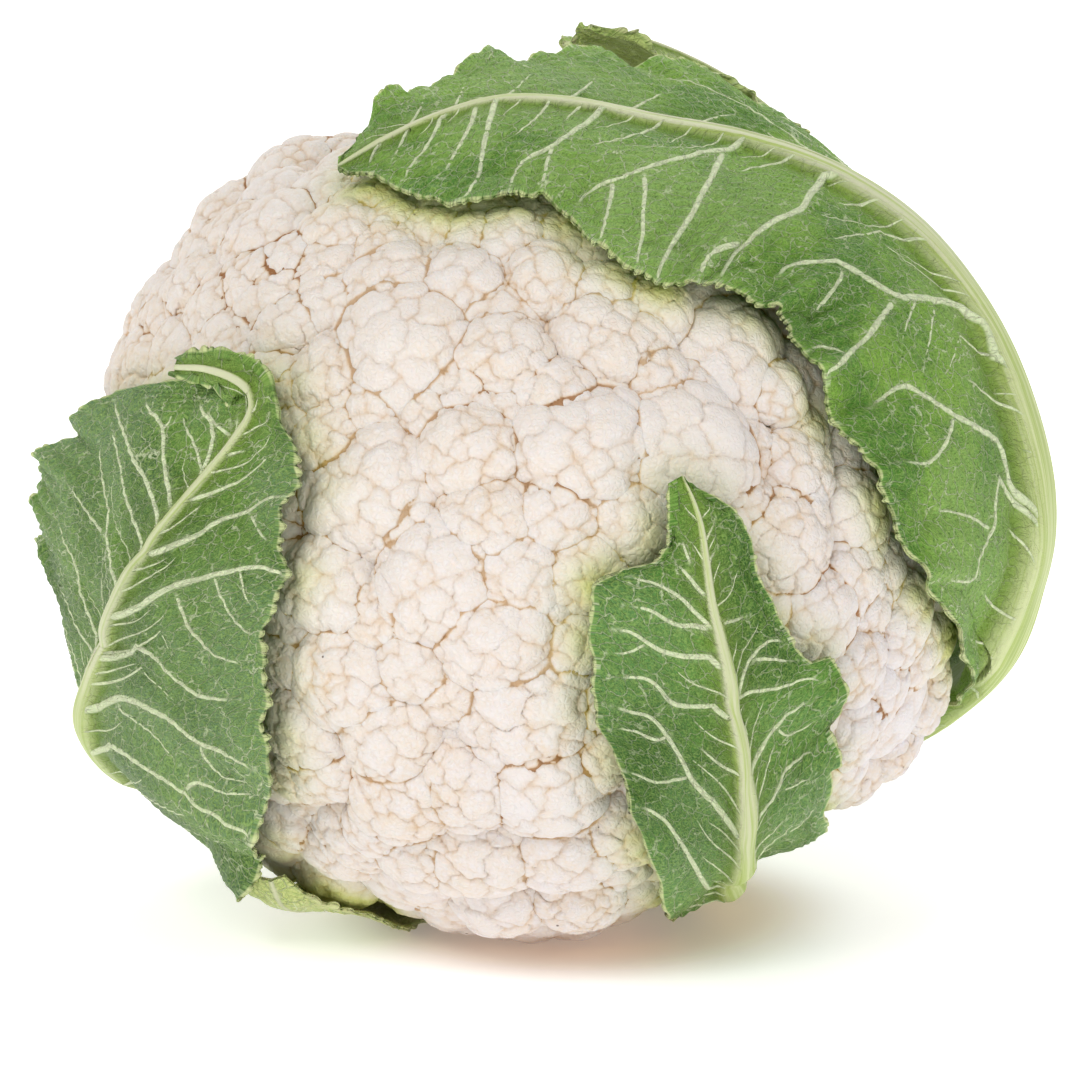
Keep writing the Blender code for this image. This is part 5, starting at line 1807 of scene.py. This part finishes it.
def curd_finish():
    """Cream curd with painted shade: cooler on its lower right, tan lines in the creases (partly its own
    colour), deep brown in the deepest crevices; greenish next to the leaves, partly painted leaf light.
    """
    make = Finish("curd_cream")
    where = make.add("ShaderNodeTexCoord").outputs["Object"]
    split = make.add("ShaderNodeSeparateXYZ", ("Vector", where)).outputs
    # Painted shade: the curd turns to the cooler, darker cream towards its lower right, away from the key
    # lamp, in random patches
    drift = make.math("SUBTRACT", make.times(split["X"], 4.0), make.times(split["Z"], 4.5))
    patches = make.noise(where, 18.0)
    lean = make.plus(drift, 0.55, make.times(patches, 0.5))
    colour = make.mix(make.band(lean, 0.1, 1.1), LIT_CREAM, SHADED_CREAM)
    mottled = make.noise(where, 220.0, 4.0)
    colour = make.mix(make.band(mottled, 0.50, 0.78, 0.0, 0.14), colour, PALE_TAN)
    tone = make.value("tone")
    colour = make.mix(make.band(tone, 0.2, 1.0, 0.0, 0.16), colour, OLD_CREAM)
    fine_cells = make.cells(where, 900.0)
    fine_lines = make.band(fine_cells, 0.0, 0.16, 1.0, 0.0)
    uneven = make.band(make.noise(where, 60.0), 0.38, 0.66, 0.15, 1.0)
    crevice = make.value("crevice")
    # Painted shade: patchy deep brown in the deepest crevices
    patchy_shade = make.band(make.noise(where, 26.0, 3.0), 0.42, 0.64, 0.30, 1.0)
    # Painted green light from the leaves, partly the curd's own green, stronger in the crevices
    leafy = make.times(make.value("leafy"), make.band(crevice, 0.0, 1.0, 0.75, 1.0))
    specks = make.cells(where, 75.0, "F1")
    # Tan lines where florets, lobes, bubbles and grains meet: partly the curd's own colour, partly painted
    # shade in the creases
    colour = make.tinted(
        colour,
        (make.times(fine_lines, make.band(mottled, 0.35, 0.6, 0.0, 0.16)), PALE_TAN),
        (make.times(make.value("grain"), 0.27), PALE_TAN),
        (make.times(make.value("bubble"), uneven, 0.40), PALE_TAN),
        (make.times(make.value("groove"), uneven, 0.46), TAN),
        (make.times(make.value("pit"), 0.42), TAN),
        (make.times(make.band(crevice, 0.35, 1.0), 0.66), TAN),
        (make.times(make.band(crevice, 0.72, 1.0), 0.95, patchy_shade), CREVICE_SHADE_BROWN),
        (make.times(leafy, 0.9), LEAF_LIGHT_AND_GREEN),
        (make.band(specks, 0.018, 0.032, 0.9, 0.0), SPECK),
    )
    make.set(make.shader.inputs["Base Color"], colour)
    make.constants(Roughness=0.55, Specular_IOR_Level=0.4)
    make.constants(Subsurface_Weight=0.15, Subsurface_Radius=(0.0012, 0.0008, 0.0005), Subsurface_Scale=1.0)
    beads = make.band(fine_cells, 0.0, 0.30)
    fine = make.plus(make.times(make.noise(where, 1500.0, 3.0), 0.5), beads)
    make.set(make.shader.inputs["Normal"], make.bump(fine, 0.00016, 0.6))
    return make.material


VEIN_PALE = (0.740, 0.820, 0.520)
NET_PALE = (0.385, 0.570, 0.140)
DEEP_GREEN = (0.030, 0.095, 0.008)
RIB_GREEN = (0.190, 0.300, 0.035)
RIB_BAND = (0.300, 0.420, 0.070)
RIB_YELLOW = (0.400, 0.510, 0.120)
RIB_PALE = (0.640, 0.700, 0.360)
WORN_RIB = (0.620, 0.620, 0.450)
EDGE_PALE = (0.720, 0.760, 0.380)

# Each leaf's greens, dark and light, its bloom, how deep its green lies beside the rib (partly painted
# shade), and its slot
LEAF_FINISHES = {
    "leaf_right": ((0.057, 0.205, 0.009), (0.203, 0.415, 0.034), (0.240, 0.420, 0.104), 1.0, "leaf"),
    "leaf_left": ((0.028, 0.110, 0.009), (0.103, 0.242, 0.027), (0.140, 0.250, 0.115), 1.0, "leaf"),
    "leaf_front": ((0.024, 0.115, 0.007), (0.085, 0.250, 0.022), (0.120, 0.275, 0.078), 1.0, "leaf"),
    # The back and inner leaves' greens are partly their own paler colour and partly painted light against
    # the shade they lie in
    "leaf_back": ((0.360, 0.540, 0.090), (0.600, 0.740, 0.230), (0.600, 0.720, 0.300), 1.0, "leaf"),
    "leaf_inner": ((0.640, 0.700, 0.260), (0.800, 0.790, 0.480), (0.830, 0.800, 0.600), 0.1, "leaf_pale"),
}


def leaf_net(make, flat):
    """The net of fine veins, as shares: its lines, the hairs between them and the grit."""
    swirl = make.add("ShaderNodeTexNoise", ("Vector", flat), ("Scale", 30.0), ("Detail", 3.0))
    bent = make.mix(0.035, flat, swirl.outputs["Color"], "VECTOR")
    lines = make.band(make.cells(bent, 26.0), 0.0, 0.045, 1.0, 0.0)
    hairs = make.band(make.cells(bent, 80.0), 0.0, 0.17, 1.0, 0.0)
    grit = make.band(make.noise(flat, 190.0, 2.0, 0.7), 0.42, 0.68)
    return lines, hairs, grit


def rib_finish(make, flat, rib, depth):
    """The rib's colour and the streaks along it, darker green on its flanks: partly its own green, partly
    painted shade.
    """
    streaks = make.noise(make.stretched(flat, (75.0, 1.6, 1.0)), 1.0, 5.0, 0.62)
    bands = make.noise(make.stretched(flat, (14.0, 0.8, 1.0)), 1.0, 2.0)
    worn = make.times(make.band(make.value("along"), 0.48, 0.62), make.band(streaks, 0.30, 0.60))
    colour = make.mix(make.band(streaks, 0.36, 0.62), RIB_YELLOW, RIB_PALE)
    colour = make.tinted(
        colour,
        (make.band(bands, 0.50, 0.68, 0.0, 0.75), RIB_BAND),
        (make.times(worn, 0.75), WORN_RIB),
        # Painted shade in part: darker green on the rib's flanks
        (make.band(rib, 0.15, 0.85, 0.75 * depth, 0.0), RIB_GREEN),
    )
    return colour, streaks


def leaf_finish(name, dark, light, bloom, depth):
    """A leaf: mottled green with a bloom, a net of fine veins, a pale rib and pale teeth; deeper green
    beside the rib, partly painted shade, and an inner side lightened as painted light.
    """
    make = Finish(name)
    where = make.add("ShaderNodeTexCoord").outputs["Object"]
    flat = make.add("ShaderNodeUVMap", uv_map="leaf_map").outputs["UV"]
    colour = make.mix(make.band(make.noise(where, 42.0, 5.0, 0.6), 0.40, 0.60), dark, light)
    colour = make.mix(make.band(make.noise(where, 20.0, 2.0), 0.47, 0.62, 0.0, 0.75), colour, bloom)
    lines, hairs, grit = leaf_net(make, flat)
    rib = make.value("rib")
    ribs, streaks = rib_finish(make, flat, rib, depth)
    patchy = make.band(make.noise(where, 45.0), 0.3, 0.7, 0.45, 1.0)
    deep = make.band(make.noise(flat, 150.0, 2.0, 0.7), 0.30, 0.52, 0.78 * depth, 0.0)
    inward = make.math("SUBTRACT", 1.0, make.value("outside"), True)
    colour = make.tinted(
        colour,
        (deep, DEEP_GREEN),
        (make.times(grit, 0.46), NET_PALE),
        (make.times(hairs, patchy, 0.44), NET_PALE),
        (make.times(lines, patchy, 0.80), VEIN_PALE),
        # Painted shade in part: deeper green beside the rib
        (make.times(make.value("beside_rib"), 0.70 * depth), RIB_GREEN),
        (make.band(make.value("vein"), 0.05, 0.9), VEIN_PALE),
        (make.band(rib, 0.02, 0.35), ribs),
        (make.band(make.value("margin"), 0.30, 1.0, 0.0, 0.75), EDGE_PALE),
        # Painted light: the inner side is lightened against the shade it lies in
        (make.times(inward, 0.60), light),
    )
    make.set(make.shader.inputs["Base Color"], colour)
    make.constants(Specular_IOR_Level=0.3)
    make.constants(Subsurface_Weight=0.08, Subsurface_Radius=(0.0006, 0.0012, 0.0003), Subsurface_Scale=1.0)
    gloss = make.band(make.noise(where, 40.0), 0.3, 0.7, 0.42, 0.6)
    make.set(make.shader.inputs["Roughness"], gloss)
    blade = make.math("SUBTRACT", 1.0, rib, True)
    net_relief = make.plus(lines, make.times(hairs, 0.7), make.times(grit, 0.35))
    relief = make.plus(make.times(net_relief, blade), make.times(streaks, 0.6))
    make.set(make.shader.inputs["Normal"], make.bump(relief, 0.0004, 0.9))
    return make.material


RIND_GREEN = (0.46, 0.55, 0.25)
RIND_PALE = (0.62, 0.68, 0.42)
PITH_GREEN = (0.74, 0.74, 0.56)
PITH_PALE = (0.86, 0.84, 0.70)
FIBRE_GREEN = (0.52, 0.56, 0.26)
SKIN_GREEN = (0.48, 0.55, 0.25)
CUT_BROWN = (0.52, 0.38, 0.20)


def stalk_finish():
    """The stalk: pale green rind, and a moist cut face with a ring of fibres round the pith."""
    make = Finish("stalk_green")
    where = make.add("ShaderNodeTexCoord").outputs["Object"]
    rind = make.mix(make.band(make.noise(where, 90.0, 4.0), 0.35, 0.65), RIND_GREEN, RIND_PALE)
    share = make.value("share")
    pith = make.mix(make.band(make.noise(where, 160.0, 4.0), 0.3, 0.7), PITH_GREEN, PITH_PALE)
    ring = make.times(make.band(share, 0.60, 0.74), make.band(share, 0.92, 0.80))
    dots = make.band(make.cells(where, 420.0, "F1"), 0.2, 0.6, 1.0, 0.3)
    pith = make.mix(make.times(ring, make.times(dots, 0.7)), pith, FIBRE_GREEN)
    pith = make.mix(make.band(share, 0.93, 1.0), pith, SKIN_GREEN)
    browned = make.band(make.noise(where, 45.0, 4.0), 0.55, 0.75, 0.0, 0.5)
    pith = make.mix(browned, pith, CUT_BROWN)
    colour = make.mix(make.value("cut"), rind, pith)
    make.set(make.shader.inputs["Base Color"], colour)
    make.constants(Roughness=0.48, Specular_IOR_Level=0.45)
    relief = make.plus(make.noise(where, 320.0, 5.0), make.times(dots, 0.4))
    make.set(make.shader.inputs["Normal"], make.bump(relief, 0.0004, 0.7))
    return make.material


# Where the floor carries a warm painted shadow under the head: a shift and a scale that make it a ball of
# size one
SHADE_WARM = (0.92, 0.66, 0.42)
FLOOR_WHITE = (0.95, 0.945, 0.94)
SHADE_SHIFT = (-0.20, 0.10, 0.0)
SHADE_SCALE = (21.0, 21.5, 1.0)


def floor_finish():
    """A matt white floor that glows a little, so that it stays as pale as its surround, with a warm painted
    shadow under the head where its glow fades.
    """
    make = Finish("floor_white")
    where = make.add("ShaderNodeTexCoord").outputs["Object"]
    placed = make.stretched(where, SHADE_SCALE, SHADE_SHIFT)
    away = make.add("ShaderNodeVectorMath", ("Vector", placed), operation="LENGTH").outputs["Value"]
    clear = make.band(away, 0.60, 1.25)
    # Painted shadow: warm colour and a weaker glow under the head
    make.set(make.shader.inputs["Base Color"], make.mix(clear, SHADE_WARM, FLOOR_WHITE))
    make.constants(Roughness=0.9, Specular_IOR_Level=0.1, Emission_Color=(1.0, 1.0, 1.0, 1.0))
    make.set(make.shader.inputs["Emission Strength"], make.band(away, 0.72, 1.35, 0.17, 0.42))
    return make.material


# The floor in metres: its half width, where it starts to rise, its bend there and its wall's height
FLOOR_HALF = 6.0
FLOOR_FLAT = 2.5
BEND_RADIUS = 1.5
BEND_STEPS = 12
WALL_HEIGHT = 5.0


def build_floor():
    """A wide pale floor, rising to a wall far behind the head."""
    bend = [(-FLOOR_HALF, 0.0), (FLOOR_FLAT, 0.0)]
    for step in range(1, BEND_STEPS + 1):
        angle = step / BEND_STEPS * math.pi / 2.0
        back = FLOOR_FLAT + BEND_RADIUS * math.sin(angle)
        bend.append((back, BEND_RADIUS - BEND_RADIUS * math.cos(angle)))
    bend.append((FLOOR_FLAT + BEND_RADIUS, WALL_HEIGHT))
    verts = [(across, back, up) for back, up in bend for across in (-FLOOR_HALF, FLOOR_HALF)]
    faces = [(2 * i, 2 * i + 1, 2 * i + 3, 2 * i + 2) for i in range(len(bend) - 1)]
    mesh = bpy.data.meshes.new("floor")
    mesh.from_pydata(verts, [], faces)
    for face in mesh.polygons:
        face.use_smooth = True
    mesh.materials.append(floor_finish())
    floor = bpy.data.objects.new("floor", mesh)
    bpy.context.scene.collection.objects.link(floor)


# The lamps: place, what each faces, size, power and colour
LAMPS = {
    "key": ((-0.9, -1.3, 1.6), (0.0, 0.0, 0.08), 0.9, 18.5, (1.0, 0.985, 0.965)),
    "fill": ((1.5, -1.2, 0.7), (0.0, 0.0, 0.08), 1.4, 7.0, (0.98, 0.985, 1.0)),
    "rear": ((0.4, 1.2, 1.5), (0.0, 0.0, 0.1), 1.2, 8.0, (1.0, 1.0, 1.0)),
}
SURROUND_STRENGTH = 0.47


def add_light(name, place, aim, size, power, colour):
    """A soft square lamp at a place, facing a point."""
    lamp = bpy.data.lights.new(name, "AREA")
    lamp.shape = "SQUARE"
    lamp.size = size
    lamp.energy = power
    lamp.color = colour
    made = bpy.data.objects.new(name, lamp)
    made.location = place
    made.rotation_euler = (Vector(aim) - Vector(place)).to_track_quat("-Z", "Y").to_euler()
    bpy.context.scene.collection.objects.link(made)


def build_light():
    """Soft studio light: a large lamp from the upper left, a fill from the right and a pale surround."""
    for name, lamp in LAMPS.items():
        add_light(name, *lamp)
    world = bpy.data.worlds.new("surround")
    world.use_nodes = True
    ground = world.node_tree.nodes["Background"]
    ground.inputs["Color"].default_value = (1.0, 1.0, 1.0, 1.0)
    ground.inputs["Strength"].default_value = SURROUND_STRENGTH
    bpy.context.scene.world = world
    bpy.context.scene.view_settings.view_transform = "Standard"


# The camera: what it sees across at the head's middle, and how far its aim stands off that
SEEN_ACROSS = 1080 / 4.75
AIM_RIGHT = 2.53
AIM_UP = 1.05
SENSOR = 36.0


def build_camera():
    """The camera at the viewer's place, looking down on the head by FACE_TILT."""
    middle = Vector(HEAD_MIDDLE) * MM
    up = Vector((0.0, math.sin(FACE_TILT), math.cos(FACE_TILT)))
    toward = Vector((0.0, -math.cos(FACE_TILT), math.sin(FACE_TILT)))
    aim = middle + Vector((AIM_RIGHT * MM, 0.0, 0.0)) + up * AIM_UP * MM
    data = bpy.data.cameras.new("camera")
    data.sensor_width = SENSOR
    data.lens = SENSOR * SIGHT_DISTANCE / SEEN_ACROSS
    data.clip_end = 50.0
    camera = bpy.data.objects.new("camera", data)
    camera.location = aim + toward * SIGHT_DISTANCE * MM
    camera.rotation_euler = (aim - camera.location).to_track_quat("-Z", "Y").to_euler()
    bpy.context.scene.collection.objects.link(camera)
    bpy.context.scene.camera = camera


def leaf_sheets():
    """Every leaf's middle sheet, laid over the curd."""
    florets, sizes = floret_list()
    sheets = {}
    for index, name in enumerate(LEAVES):
        sheet = leaf_sheet(name, np.random.default_rng(LEAF_SEED + index))
        settle_leaf(sheet, florets, sizes)
        sheet["normals"] = grid_normals(sheet["grid"])
        sheet["down"] = np.gradient(sheet["grid"], axis=0)
        sheet["over"] = np.gradient(sheet["grid"], axis=1)
        sheets[name] = sheet
    return sheets


def tree_of_leaves(sheets):
    """The leaves' points, thinned, for finding how near the curd they lie."""
    thinned = [sheet["grid"][::LEAF_THINNED, ::LEAF_THINNED].reshape(-1, 3) for sheet in sheets.values()]
    return tree_of(np.concatenate(thinned))


sheets = leaf_sheets()
cream = curd_finish()
build_curd(cream, tree_of_leaves(sheets))
build_core(cream)
build_stalk(stalk_finish())
for name, (dark, light, bloom, depth, slot) in LEAF_FINISHES.items():
    build_leaf(name, sheets[name], leaf_finish(name + "_green", dark, light, bloom, depth), slot)
build_floor()
build_light()
build_camera()
